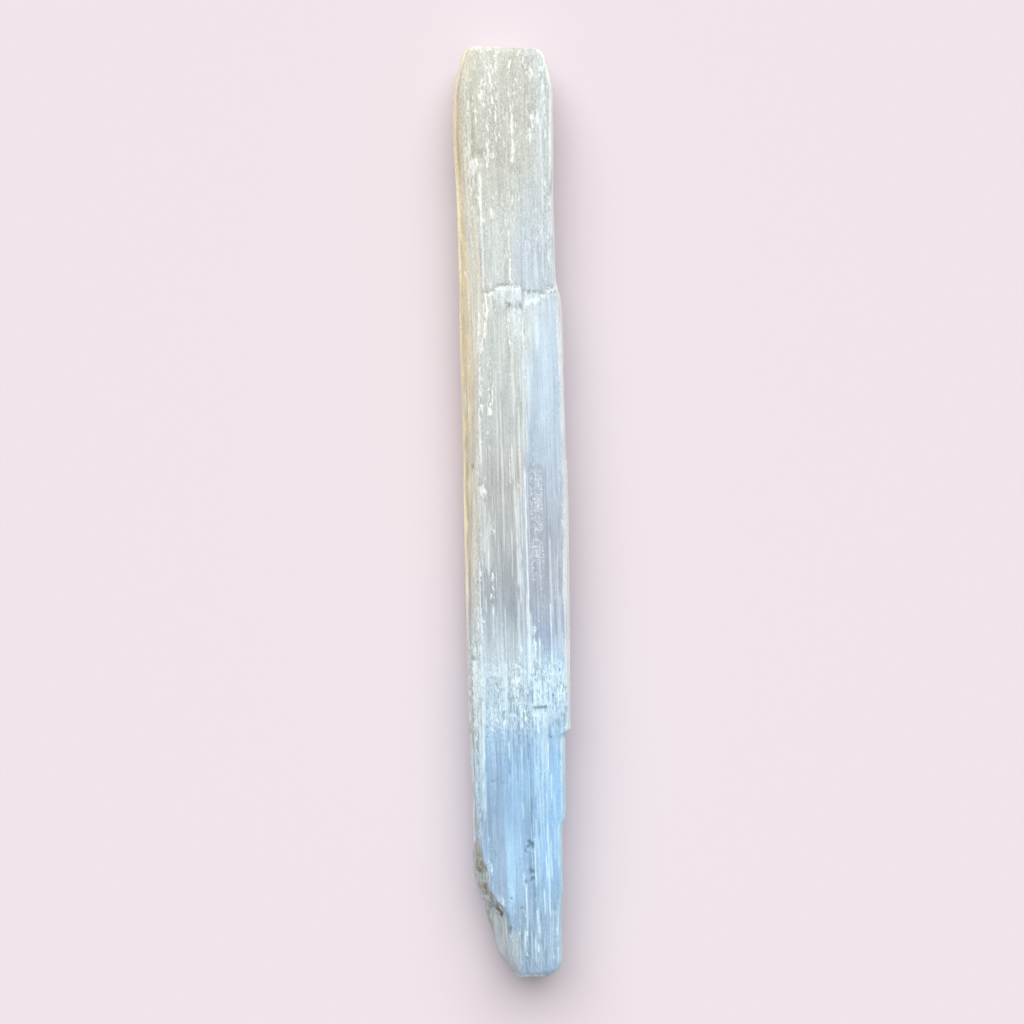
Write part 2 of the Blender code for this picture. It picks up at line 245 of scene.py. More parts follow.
# Where the slab's blue begins, where the tan stain and the milky veil end on the top, how
# wide the pale right rim is, and the right side of the cleavage face below the broken corner.
slab_tone_line = smooth_curve(
    (60, 4), (47, 4.6), (43.3, 5.6), (36.8, 4.6), (32.5, 3.3), (28, 2.8), (14, 2.5), (0, 1.6),
    (-20, 1), (-100, 1),
)
stain_line = smooth_curve(
    (100, -8.9), (76, -8.7), (57, -8.6), (47, -8.6), (38, -8), (26, -7.9), (10, -8.7), (-8, -9.6),
    (-30, -10.3), (-100, -10.3),
)
milk_line = smooth_curve(
    (60, -0.2), (43, -0.2), (38, 0.6), (33, 1.3), (20, 1.5), (0, 1.6),
)
rim_width = smooth_curve(
    (100, 1), (84, 1), (76, 0.7), (62, 0.65), (54, 0.5), (50, 0.5), (46, 0.9), (41, 1.5),
    (32, 1.4), (24, 1.2), (2, 1.35), (-20, 1.5), (-34, 1.3), (-40, 0.9), (-47, 0.9), (-50, 1.15),
    (-74, 1.1), (-80, 0.95), (-100, 0.95),
)
cleavage_line = smooth_curve(
    (-84.5, -6.4), (-86, -4.3), (-88, -3.9), (-89.5, -3), (-92, -1.7), (-98, -1.6), (-100, -1.4),
)

# ---------------------------------------------------------------------------
# How fine the bar is.

STATION_STEP = 0.7
FINE_STEP = 0.36
FINE_SPANS = ((50.0, 42.0), (-34.0, -50.0), (-56.5, -58.6), (-70.0, -89.0), (-97.0, -100.0))
COLUMN_STEP = 0.15
CROWDED_STEP = 0.012  # the closest that columns come where the stick narrows
LEFT_LOW, LEFT_MID, LEFT_HIGH, BEVEL = 10, 7, 22, 20
SHOULDER, RIGHT_HIGH, RIGHT_LOW, UNDER = 10, 26, 12, 24

# Fibres are numbered by their x on the top, and on down both sides to where the next part
# of the section starts: the left foot, the widest line, the bevel and the top's own sides.
FOOT_FIBRE, WIDEST_FIBRE, BEVEL_FIBRE, TOP_FIBRES = -24.0, -16.0, -10.5, (-8.7, 10.2)
TOP_COLUMNS = np.arange(*TOP_FIBRES, COLUMN_STEP)
CAP_RINGS = 12

# What the masks come to on the cut faces of both ends, and how many rings of each face the
# masks of the edge reach into. The other masks come to nothing there.
CUT_FACE = {"frost": 0.42, "slab": 0.35, "lively": 0.8, "low": 0.75, "weathered": 0.5}
CARRIED_RINGS = 6

# ---------------------------------------------------------------------------
# Marks on the surface, placed one by one.

# Long pale lines along the fibres: (x, from, to, width, strength).
PALE_LINES = (
    (2.2, 9, -26, 0.26, 1), (2.3, -22, -35.5, 0.8, 1), (7.1, -6, -22, 0.22, 0.6),
    (6.85, -20, -38, 0.24, 0.95), (7.8, -27, -37, 0.22, 0.6), (8.5, -10, -20, 0.2, 0.45),
    (4.3, -27.5, -41.5, 0.2, 1), (1.25, 22, -8, 0.2, 0.6), (0.15, 4.3, -16, 0.26, 0.75),
    (-0.45, 14, 7, 0.26, 0.8), (-2.6, 12, -8, 0.18, 0.5), (-1, -4, -14, 0.18, 0.5),
    (2.95, 20, 12, 0.26, 0.6), (-7.15, 21, 10, 0.4, 0.9), (-6.1, -3, -13.5, 0.18, 0.85),
    (-6.9, -5.5, -9, 0.22, 0.8), (-8.1, -11, -27, 0.24, 0.85), (-6.9, -18.5, -21.5, 0.22, 0.85),
    (-5.35, -20.3, -22.4, 0.28, 1), (-4.7, -22.6, -31, 0.45, 0.5), (-8.35, -42.5, -53, 0.34, 1.1),
    (-8.5, -52.5, -65.5, 0.32, 1.1), (5.45, -49.5, -56, 0.22, 1), (5.9, -56.5, -62, 0.2, 0.85),
    (3.3, -48.5, -64, 0.55, 0.5), (-2.85, -49.3, -53, 0.2, 0.8), (-2.95, -56.5, -59, 0.24, 0.6),
    (-0.2, -40.3, -46.6, 0.24, 0.9), (2.95, -36.5, -42, 0.4, 1), (4.1, -36.5, -41.9, 0.26, 0.95),
    (3.5, -42.6, -47.5, 0.5, 0.9), (4.7, -42.6, -48, 0.4, 0.95), (4.05, -63.5, -68.2, 0.26, 0.8),
    (4.95, -67, -86.8, 0.28, 1), (4.45, -73.4, -78.9, 0.18, 1), (3.8, -81.2, -86.5, 0.2, 1),
    (2.05, -70.4, -80.5, 0.24, 0.9), (-0.45, -77.6, -80.3, 0.24, 0.85),
    (-0.05, -80.2, -89.8, 0.22, 0.95), (2.5, -88.8, -91, 0.32, 1),
    (1.65, -91.5, -96.5, 0.3, 0.95), (-0.3, -62.2, -65.8, 0.4, 0.5),
    (-0.6, -89.5, -94, 0.26, 0.9), (6.3, -68, -75, 0.2, 0.5), (0.9, -90, -96, 0.22, 0.5),
    (4.2, -48.8, -58, 0.2, 0.7), (6.5, -60, -66, 0.2, 0.5), (2.55, -49, -61, 0.22, 0.6),
    (4.9, -60.5, -65, 0.24, 0.6), (5.25, -31, -40, 0.16, 0.5), (-3.6, -28, -38, 0.22, 0.5),
    (-5.85, -84.2, -85.4, 0.34, 1.2), (-6.05, -81.9, -84, 0.26, 0.6),
    (-5.05, -82.6, -84.4, 0.34, 0.8), (-7.15, -79.4, -82.2, 0.26, 0.6),
    (-9.15, -77.4, -80, 0.26, 0.5), (-8.4, -76.9, -79.6, 0.22, 0.5),
    (-4.55, -86.4, -92, 0.24, 0.7), (-6.9, -87, -93.5, 0.4, 0.4), (-5.2, -88.6, -96, 0.26, 0.4),
    (5.45, 46.2, 43.8, 0.28, 0.9), (2.5, 46.4, 41.5, 0.3, 0.6), (-9, -46, -52, 0.24, 0.8),
    (-8.2, -56, -64, 0.26, 0.9), (-9.6, -34, -42, 0.22, 0.8), (-8.95, -42, -64, 0.22, 0.8),
    (3.3, -40.5, -47, 0.26, 0.9), (1.9, -18, -37, 0.6, 0.7), (2.75, -30, -41, 0.3, 0.9),
    (5, -43, -58, 0.18, 0.6), (7.75, 84, 64, 0.42, 0.7), (9.55, 82, 70, 0.26, 0.9),
    (7.4, 62, 50, 0.26, 0.6), (0.2, 36, 20, 0.26, 0.45), (2.3, 32, 12, 0.3, 0.5),
    (-3.4, 30, 12, 0.3, 0.4), (-2.6, 24, 6, 0.3, 0.5), (0.65, 6, -20, 0.34, 0.7),
    (-5.45, 72, 47, 0.26, 0.8), (-7.7, 84, 70, 0.24, 0.6), (-3.2, -32, -46, 0.7, 0.8),
    (2.7, -38, -47, 0.34, 0.8), (5.5, -37, -47, 0.3, 0.7), (2.9, -54, -66, 0.28, 0.4),
    (4.05, -57, -69, 0.32, 0.6), (5.3, -50, -64, 0.26, 0.35), (3.5, -60, -72, 0.2, 0.5),
    (2.5, -66, -80, 0.36, 0.5), (0.95, -12, -38, 0.7, 0.45), (-7.6, 5, -11, 0.6, 0.45),
    (-6.6, 2, -12, 0.5, 0.4), (-5.7, 0, -12, 0.4, 0.45), (-8.15, -46, -54, 0.14, 1.1),
    (-8.75, -48, -60, 0.14, 0.7), (-0.2, -50, -58, 0.3, 0.5), (-6, -50, -60, 0.3, 0.35),
    (-7.9, -34, -46, 0.6, 0.6), (-7.8, 43, 33, 0.5, 0.5), (8.3, 92, 82, 0.8, 0.45),
    (8.7, -18, -30, 0.9, 0.4), (0.05, -19, -30, 0.5, 0.5), (2.9, -70, -84, 0.24, 0.4),
    (5.5, -71, -79, 0.24, 0.7), (6.5, -84, -94, 0.4, 0.25), (-9.6, -28, -46, 0.4, 0.8),
    (-10.1, -48, -66, 0.2, 0.7),
)

# Clusters of white flecks strung along the fibres: (x, from, to, width, density).
FLECK_LINES = (
    (-5.5, 72, 46, 0.9, 0.84), (-5.5, 58, 36, 0.7, 0.66), (-4.4, 38, 16, 0.8, 0.6),
    (-2.6, 94, 86, 0.7, 0.66), (-2, 88, 78, 0.7, 0.66), (-3.2, 72, 60, 0.8, 0.6),
    (1.45, 87, 74, 0.8, 0.86), (-1, 66, 52, 0.7, 0.5), (1.3, 72, 48.5, 0.6, 0.6),
    (0.35, 61, 48.6, 0.5, 0.92), (3.4, 66, 58, 0.7, 0.5), (6.2, 84, 70, 1.3, 0.58),
    (8, 90, 62, 0.9, 0.6), (8.5, 93, 79, 1.1, 0.76), (8.8, 72, 52, 1, 0.52),
    (-7.6, 90, 62, 1, 0.55), (-1.4, 98, 90, 0.7, 0.58), (1.2, 98, 92, 0.7, 0.58),
    (-3.95, 79.5, 72.5, 0.9, 0.7), (4.4, 97, 88, 2.6, 0.48), (-6.8, 44, 18, 1, 0.64),
    (-5.1, 36, 12, 0.8, 0.56), (-6.4, 30, 12, 0.6, 0.6), (-0.2, 43, 26, 0.9, 0.6),
    (1.4, 42.5, 20, 0.9, 0.38), (2.7, 44, 22, 0.7, 0.64), (-7.9, 14, -2, 0.8, 0.6),
    (-6.5, 8, 2, 1, 0.66), (-5.5, 0, -20, 0.9, 0.56), (-7.4, -3, -28, 0.6, 0.5),
    (-8.9, -12, -44, 0.7, 0.54), (-9.6, -26, -47, 0.6, 0.58), (-4.5, -30, -44, 2.4, 0.5),
    (0.2, -28, -46, 2.2, 0.48), (3.3, -24, -44, 1.2, 0.62), (8.2, -30, -47, 1.6, 0.58),
    (5.6, -37, -43, 1, 0.5), (-9.9, -50, -66, 0.8, 0.55), (-9.1, -46, -66, 0.6, 0.56),
    (-7.8, -66, -76, 0.6, 0.5), (3.1, -49, -66, 1, 0.48), (5, -49, -58, 1.4, 0.4),
    (1.9, -70, -84, 1, 0.56), (-0.3, -78, -97, 0.8, 0.56), (2.2, -84, -97, 0.8, 0.52),
    (8.2, -49, -60, 0.6, 0.42), (6.4, -88, -98, 0.8, 0.42), (-5.4, -82, -87, 1.2, 0.6),
    (-5.8, -88, -97, 1, 0.48), (9.9, 46, 20, 0.9, 0.5), (9.9, 10, -45, 0.7, 0.5),
    (-10.3, 44, 0, 0.5, 0.3),
)

# Grooves that look dark: (x, from, to, width, strength).
DARK_GROOVES = (
    (-1.6, -38.6, -44.6, 0.22, 0.7), (-0.4, -38.2, -45.2, 0.2, 0.75),
    (-3.05, -43.9, -57, 0.2, 0.45), (1.9, -37.5, -45.2, 0.26, 0.9),
    (2.45, -38.3, -41.9, 0.2, 0.8), (1.75, -46.3, -49.4, 0.26, 0.8), (1.85, -50.5, -58, 0.3, 0.6),
    (1.6, -58.1, -67, 0.24, 0.7), (8.3, -36.6, -38.2, 0.26, 0.7), (7.95, -44.8, -46.5, 0.26, 0.7),
    (-8.65, -40, -53.9, 0.18, 0.6), (1.55, -32.5, -37.5, 0.24, 0.7),
    (-2.4, -33.8, -38, 0.28, 0.5), (5.75, -49, -61, 0.2, 0.5), (-0.75, -79, -92, 0.26, 0.5),
    (1.4, -76, -84, 0.6, 0.4), (0.7, -62, -66, 0.24, 0.4), (-9.9, 58, 20, 0.22, 0.5),
    (5.1, -70, -86, 0.14, 0.5), (-7, -82.4, -84.6, 0.26, 0.9), (-6.4, -83, -84.8, 0.2, 0.7),
    (-8.6, -80, -82.6, 0.22, 0.6), (-9.4, -75, -78, 0.24, 0.6), (-5.8, -88, -93, 0.26, 0.6),
    (-4.1, -87.2, -90.2, 0.5, 0.6), (-7.6, -85.8, -90, 0.2, 0.5), (-1.35, -88.5, -96.5, 0.4, 0.9),
    (-9.2, -58, -70, 0.24, 0.7), (-10.1, -52, -66, 0.22, 0.7), (-2.3, -37, -43, 0.16, 0.7),
    (0.5, -38, -47, 0.18, 0.8), (-0.9, -41, -50, 0.16, 0.8), (1.1, -40.5, -53, 0.16, 0.7),
    (0.2, -46, -55, 0.16, 0.7), (-1.9, -45, -52, 0.16, 0.6), (2.3, -43, -56, 0.18, 0.8),
    (2.9, -46, -53, 0.16, 0.6), (-2.7, -47, -60, 0.16, 0.6), (6.9, -37, -42, 0.16, 0.6),
    (4.6, -36.5, -41.5, 0.16, 0.6), (-1.2, -54, -61, 0.14, 0.5), (-4.9, -47, -60, 0.14, 0.4),
    (-8.75, -44, -66, 0.2, 0.6), (-9.4, -46, -64, 0.3, 0.5), (0.35, -88, -97, 0.26, 0.8),
    (1.2, -90, -98, 0.18, 0.7), (2.9, -86, -94, 0.28, 0.6), (3.7, -91, -99, 0.18, 0.6),
    (-0.6, -94, -99, 0.2, 0.6), (0.9, -66, -78, 0.16, 0.6), (2.5, -72, -86, 0.16, 0.5),
    (-0.35, -69, -77, 0.14, 0.5), (1.7, -80, -90, 0.18, 0.6), (-1.9, -74, -80, 0.14, 0.4),
    (3.1, -60, -72, 0.14, 0.5), (1.5, -39, -47, 0.3, 0.8),
)

# Hollows and steps that lie in shade at the upper break: (x, place along, radius across,
# radius along, strength).
SHADES = (
    (4.5, 45.8, 1.1, 0.7, 0.45), (2.95, 46.4, 0.2, 0.9, 0.4), (8.9, 47.3, 0.8, 0.3, 0.4),
    (0.6, 44.1, 1.3, 0.5, 0.35), (-5.2, 47.1, 0.8, 0.5, 0.35), (2.6, 43.8, 0.9, 0.5, 0.35),
    (1.9, 51, 0.7, 2.6, 0.3),
)

# Cracks across the fibres: (half width, its run of (x, place along) points).
CROSS_CRACKS = (
    (0.22, ((-4.9, 47.2), (-4.2, 46.9), (-3.1, 48.2), (-1.2, 48.35), (0.4, 48.15), (2.8, 48.1))),
    (0.44, ((-0.9, 44.5), (0.1, 43.6), (1, 43.5), (1.8, 43.6), (3.3, 43.9))),
    (0.26, ((2.8, 47), (4.2, 46.9), (5.5, 46.7), (6.6, 46.55), (7.7, 46.2), (8.6, 46.4),
            (9.9, 46.8))),
    (0.2, ((8, 47.3), (8.8, 47.7), (9.6, 47.5))),
    (0.2, ((-5.9, 47.6), (-5.2, 46.6), (-4.6, 47.4), (-3.8, 46.9), (-3, 48))),
    (0.16, ((2.2, -35.3), (3.4, -35.2))),
    (0.13, ((3.1, -42.4), (4.3, -42), (5.5, -42))),
    (0.12, ((5.5, -48.8), (6.3, -48.7))),
    (0.1, ((8.3, -48.3), (9.2, -47.9))),
    (0.14, ((-6.9, -57.3), (-6.5, -57.9), (-5.9, -57.9), (-5.6, -57.1))),
    (0.16, ((-5.8, -36.2), (-5.2, -36))),
    (0.14, ((-6.6, -73.5), (-6, -74))),
)

# Hollows: (x, place along, radius, depth, darkness).
PITS = (
    (1.2, -71.7, 0.85, 0.55, 0.9), (-0.05, -72.9, 0.45, 0.2, 0.7), (1.2, -77.4, 0.6, 0.4, 0.8),
    (1.35, -78.9, 0.65, 0.4, 0.8), (-0.1, -79.5, 0.4, 0.2, 0.6), (-3.35, -82.9, 0.3, 0.2, 0.8),
    (-1, -85, 0.32, 0.2, 0.6), (-3.8, -89.6, 0.65, 0.3, 0.7), (-5.75, -86.4, 0.42, 0.5, 0.4),
    (-9, 9.7, 0.4, 0.25, 0.8), (3.9, 58, 0.3, 0.15, 0.6), (-5.4, 76, 1.6, 0.35, 0.1),
    (-9.4, -28.4, 0.5, 0.25, 0.5), (-9.7, -31.5, 0.45, 0.25, 0.5),
)

# Dirt on the broken corner: (x, place along, radius across, radius along, strength).
DIRT = (
    (-10.2, -72.8, 0.8, 2.8, 0.85), (-9.75, -76.3, 1.1, 1.7, 1.2), (-9, -80.9, 1, 1.25, 1.2),
    (-10.3, -75.4, 0.3, 1.4, 1.1), (-7.9, -82.3, 0.5, 0.9, 0.9), (-9.9, -81, 0.3, 1.2, 0.6),
    (-8.3, -86.8, 0.36, 2.4, 0.9), (-7.6, -89.8, 0.3, 1.4, 0.6), (-6.5, -84.6, 0.9, 0.6, 0.75),
    (-10.1, -79, 0.3, 1.2, 0.35), (-7.9, -84.9, 0.4, 0.8, 0.6),
)
# The crack at its foot, where the dirt is darkest: (x, place along).
foot_crack = straight_curve(
    (-7.5, -84.7), (-6.6, -85.3), (-5.9, -85.8), (-5.6, -86.6), (-5.4, -86.9),
)

# Blobs of bruised white: (x, place along, radius across, radius along, strength).
BRUISES = (
    (-6.6, 74.6, 1.7, 2.4, 1.05), (-3.9, 76, 0.6, 3, 0.9), (-3.9, 83.3, 0.7, 1.6, 0.7),
    (-7.9, 77.4, 0.7, 1.8, 0.8), (-6.8, 70.6, 0.5, 2.2, 0.8), (6.6, 83.5, 1.2, 2.8, 0.92),
    (5.1, 80.5, 0.9, 2.4, 0.86), (7.9, 81.5, 0.6, 2.4, 0.9), (-2.8, 85, 0.9, 3, 0.7),
    (6.9, 94.5, 2.2, 2.8, 0.72), (0, 46.2, 2.8, 1.6, 0.62), (6.4, 46.9, 0.4, 0.35, 1.1),
    (9.3, 46.9, 0.4, 0.35, 1), (4.3, 47.5, 0.9, 0.4, 0.7), (0.3, 44.7, 1.1, 0.4, 0.8),
    (7.6, 45.2, 1, 0.8, 0.5), (-3, 46.8, 0.8, 1, 0.9), (9.7, 47.6, 0.9, 0.8, 0.9),
    (10.6, 3.8, 0.6, 1.1, 0.9), (-6.9, 4.6, 1.1, 1.6, 0.8), (-5, -3.8, 0.5, 1.8, 0.7),
    (-9.4, -27.3, 0.5, 0.5, 0.9), (-7.35, -76.6, 0.26, 1.3, 1.1), (-5.4, -83.6, 0.4, 0.7, 0.6),
    (-8.75, -83.1, 1.1, 0.8, 1.15), (9.7, -46.6, 0.7, 1, 1), (8.2, -40.2, 0.6, 0.9, 0.8),
    (-9.8, -45.5, 0.6, 2.2, 1), (-9, -37.5, 0.5, 5, 0.9), (-9.9, -38.5, 0.4, 4, 1),
    (-9.75, -33, 0.55, 4.5, 1.1), (-9.4, -40.5, 0.5, 3.5, 0.9), (-4.7, 21.5, 0.5, 2.4, 0.8),
    (-5.4, 17.5, 0.5, 1.4, 0.6), (3.9, 9.7, 0.6, 0.5, 0.8), (-4.8, 62, 0.8, 3.2, 0.7),
    (9.6, 62, 0.5, 4, 0.6), (-5.2, 67, 0.5, 1.5, 0.7),
)


def gleam_line(y):
    """The left side of the painted sheen strip beside the broken corner."""
    return -4.15 - 0.012 * (y + 75)


def near_line(x, y, line_x, start, end, width):
    """1 on a line along the fibres, falling to 0 at its sides and its tapered ends."""
    across = 1 - np.abs(x - line_x) / (width / 2 + COLUMN_STEP)
    ends = np.minimum(start - y, y - end) / 1.2 + 0.5
    return np.clip(across * 1.6, 0, 1) * np.clip(ends, 0, 1)


def radii_away(x, y, blob_x, blob_y, across, along):
    """How many of its own radii each point is from the middle of an oval blob."""
    return np.hypot((x - blob_x) / across, (y - blob_y) / along)


def ragged_blobs(x, y, blobs, reach, raggedness, across, along, seed):
    """For each blob of a table, its strength over its middle, falling to 0 at its ragged side."""
    for *oval, strength in blobs:
        away = radii_away(x, y, *oval) - raggedness * noise(x / across, y / along, seed)
        yield strength * ease(reach - away)


def blur(field, across, along):
    """A box average over this many columns and stations to each side."""
    for axis, reach in ((1, across), (0, along)):
        pad = [(0, 0), (0, 0)]
        pad[axis] = (reach, reach)
        padded = np.pad(field, pad, mode="wrap" if axis == 1 else "edge")
        size = field.shape[axis]
        shifted = [np.take(padded, range(k, k + size), axis=axis) for k in range(2 * reach + 1)]
        field = sum(shifted) / (2 * reach + 1)
    return field


# ---------------------------------------------------------------------------
# The rings before any relief.

def bend(x, y):
    """How far a ring's point moves along the stick to follow the breaks and the end face."""
    steps = 0.30 * torn(x, 0.45, 15) + 0.22 * torn(x, 1.3, 17)
    moved = steps * np.clip(1.1 - np.abs(y - TOP_BREAK_AT) / 4, 0, 1)
    for at, line in ((TOP_BREAK_AT, slab_top_break), (LOW_BREAK_AT, slab_low_break)):
        past = np.clip(np.abs(y - at) - BREAK_HALF_WIDTH, 0, None)
        moved = moved + (line(x) - at) * np.clip(1 - past / BREAK_REACH, 0, 1)
    near_end = np.clip(1 - (HALF - y) / 10, 0, 1)
    return moved + TOP_END_SKEW * (x + 7.1) * near_end


class Section:
    """The rings of the bar before any relief: arrays of stations by columns."""

    def __init__(self, stations):
        self.y = stations
        self.x, self.z, self.nx, self.nz, self.fibre, self.kind = [], [], [], [], [], []
        left, right = left_edge(stations), right_edge(stations)
        top, foot = HEIGHT * top_fall(stations), HEIGHT * foot_lift(stations)
        tall = top - foot
        self.left, self.right, self.top = left, right, top
        ridge = ridge_line(stations)
        bevel = np.clip(bevel_edge(stations), left + 0.25, ridge - 0.5)
        raised = np.where((stations > LOW_BREAK_AT) & (stations < TOP_BREAK_AT), SLAB_RISE, 0.0)
        shoulder_top = top - TOP_DROP + raised * (1 - fall(stations, LOW_STEP_AT, 4))
        left_foot = (left + FOOT_INSET, foot)
        left_low = (left + 0.25, foot + LOW_CORNER * tall)
        left_out = (left, foot + LEFT_WIDEST * tall)
        bevel_line = (bevel, foot + tall * bevel_height(stations))
        ridge_top = (ridge, top + RIDGE_RISE)
        shoulder = (right - TOP_ROUND, shoulder_top)
        right_out = (right, foot + RIGHT_WIDEST * tall)
        right_low = (right - 0.35, foot + LOW_CORNER * tall)
        right_foot = (right - FOOT_INSET, foot)
        self.stretch(left_foot, left_low, LEFT_LOW, "side", FOOT_FIBRE, -19.5)
        self.stretch(left_low, left_out, LEFT_MID, "side", -19.5, WIDEST_FIBRE)
        self.stretch(left_out, bevel_line, LEFT_HIGH, "facet", WIDEST_FIBRE, BEVEL_FIBRE)
        self.stretch(bevel_line, ridge_top, BEVEL, "facet", BEVEL_FIBRE, TOP_FIBRES[0])
        self.top_stretch(ridge, right, raised)
        self.stretch(shoulder, right_out, SHOULDER, "side", TOP_FIBRES[1], 13.0)
        self.stretch(right_out, right_low, RIGHT_HIGH, "side", 13.0, 20.5)
        self.stretch(right_low, right_foot, RIGHT_LOW, "side", 20.5, 25.0)
        self.stretch(right_foot, left_foot, UNDER, "under", 25.0, 42.0)
        self.x, self.z = np.hstack(self.x), np.hstack(self.z)
        self.nx, self.nz = np.hstack(self.nx), np.hstack(self.nz)
        self.fibre = np.concatenate(self.fibre)[None, :] + 0 * self.x
        self.kind = np.array(self.kind)

    def stretch(self, start, end, count, kind, fibre_start, fibre_end):
        """Columns spaced evenly from one long edge of the section to the next."""
        share = np.arange(count) / count
        dx, dz = end[0] - start[0], end[1] - start[1]
        length = np.hypot(dx, dz)
        self.x.append(start[0][:, None] + dx[:, None] * share)
        self.z.append(start[1][:, None] + dz[:, None] * share)
        self.nx.append(np.repeat((-dz / length)[:, None], count, axis=1))
        self.nz.append(np.repeat((dx / length)[:, None], count, axis=1))
        self.fibre.append(fibre_start + (fibre_end - fibre_start) * share)
        self.kind += [kind] * count

    def top_stretch(self, ridge, right, raised):
        """Columns of the top, each at its own x, crowded at the edges where the stick narrows."""
        y = self.y[:, None]
        count = len(TOP_COLUMNS)
        order = np.arange(count)
        low = ridge[:, None] + 0.1 + order * CROWDED_STEP
        high = right[:, None] - TOP_ROUND - 0.1 - (count - 1 - order) * CROWDED_STEP
        x = np.minimum(np.maximum(TOP_COLUMNS[None, :], low), high)
        share = (x - low[:, :1]) / (high[:, -1:] - low[:, :1])
        crown = TOP_CROWN * (1 - (2 * share - 1) ** 2) - TOP_DROP * share**4
        on_slab = step(x, SLAB_LEFT, COLUMN_STEP + 1.6 * rise(y, 14, 12))
        on_slab = on_slab * (1 - 0.95 * fall(y, LOW_STEP_AT, 4) * rise(x, 5.7, 0.8))
        crown = crown + raised[:, None] * on_slab
        ragged_end = PLATE_END - 0.3 + 0.42 * np.clip(x + 0.8, 0, 4)
        ragged_end = ragged_end + 1.3 * lattice(np.floor(x / 0.45).astype(np.int64), 0 * order, 8)
        merging = rise(y, PLATE_END - 4, 8)
        end = np.where(x > PLATE_TORN_FROM, step(y, ragged_end, 1.3), merging)
        on_plate = step(x, PLATE_LEFT, COLUMN_STEP) * (1 - on_slab) * end * (y < TOP_BREAK_AT)
        crown = crown + PLATE_RISE * on_plate + RIDGE_RISE * np.exp(-(x - low[:, :1]) / 0.25)
        self.x.append(x)
        self.z.append(self.top[:, None] + crown)
        self.nx.append(np.zeros_like(x))
        self.nz.append(np.ones_like(x))
        self.fibre.append(TOP_COLUMNS)
        self.kind += ["top"] * count

    def round_off(self, passes=2):
        """Rounds the long edges, without touching the slats of the top."""
        flat = self.kind == "top"
        keep = flat & np.roll(flat, 3) & np.roll(flat, -3)
        for _ in range(passes):
            for field in (self.x, self.z):
                soft = (np.roll(field, 1, axis=1) + 2 * field + np.roll(field, -1, axis=1)) / 4
                field[:] = np.where(keep[None, :], field, soft)


def station_places():
    """Places along the stick from the upper end to the lower, with a pair at each break."""
    places = {-HALF, HALF, *np.arange(-HALF, HALF, STATION_STEP)}
    for upper, lower in FINE_SPANS:
        places = {p for p in places if not lower < p < upper}
        places |= set(np.linspace(lower, upper, 1 + round((upper - lower) / FINE_STEP)))
    for at in (TOP_BREAK_AT, LOW_BREAK_AT):
        places = {p for p in places if abs(p - at) > BREAK_HALF_WIDTH + 0.1}
        places |= {at - BREAK_HALF_WIDTH, at + BREAK_HALF_WIDTH}
    places |= {HALF - 0.2, -HALF + 0.2, PLATE_END - 0.12, PLATE_END + 0.12}
    return np.array(sorted(places, reverse=True))


# ---------------------------------------------------------------------------
# Relief and masks. Each function adds its forms to p, the surface's points.

most = np.maximum
KINDS = ("top", "facet", "side", "under")


def surface_points(section, x, y):
    """Where each point is, what it belongs to, and its relief and masks so far.

    The relief is how far a point stands out, in millimetres. Masks go from 0 to 1.
    """
    kinds = {kind: (section.kind == kind)[None, :] + 0 * x for kind in KINDS}
    empty = {name: np.zeros_like(x) for name in ("relief", "line", "dark", "scar")}
    p = SimpleNamespace(
        z=section.z, fibre=section.fibre, right=section.right[:, None],
        left=section.left[:, None], ridge=ridge_line(y), **kinds, **empty,
    )
    p.above = np.clip(p.top + p.facet, 0, 1)
    p.left_wall = ((p.fibre < BEVEL_FIBRE) & (p.fibre >= FOOT_FIBRE)) + 0 * x
    p.on_left = np.clip(p.facet + p.left_wall, 0, 1)
    p.weathered = rise(y, 40, 22)
    p.worn = 1 - 0.6 * p.weathered
    p.pitted = ease((y + 57 - 0.5 * x + 2 * noise(x / 0.5, 0 * y, 211)) / 13) * fall(y, -28, 7)
    p.clumps = noise(x / 2.2, y / 6.5, 71)
    p.wobble = 0.18 * noise(y / 3.0, 0 * y, 131)
    return p


def add_slats(p, x, y):
    """Slats, large and small. The small ones keep breaking off and starting again."""
    for left, height, start, end in SLATS:
        following = min((slat[0] for slat in SLATS if slat[0] > left), default=20.0)
        inside = step(x, left, COLUMN_STEP) * (1 - step(x, following, COLUMN_STEP))
        p.relief += SLAT_SHARE * height * inside * p.top * within(y, end, start, 0.8)
    p.relief *= 1 - 0.7 * rise(y, 4, 30)
    broad = splinters(p.fibre, y, 0.95, 46.0, 11)
    fine = splinters(p.fibre, y, 0.42, 21.0, 23)
    p.relief += p.worn * broad * (0.035 * p.top + 0.16 * p.side + 0.05 * p.facet)
    p.relief += p.worn * fine * (0.024 * p.top + 0.07 * p.side + 0.03 * p.facet)
    p.relief += noise(p.fibre / 3.1, y / 70, 5) * (0.04 * p.top + 0.17 * p.side + 0.10 * p.facet)
    p.relief += 0.26 * bell(p.fibre - WIDEST_FIBRE, 1.6) * rise(y, 24, 16)
    p.relief += noise(p.fibre / 0.33, y / 14, 31) * (0.018 * p.above + 0.03 * p.side)


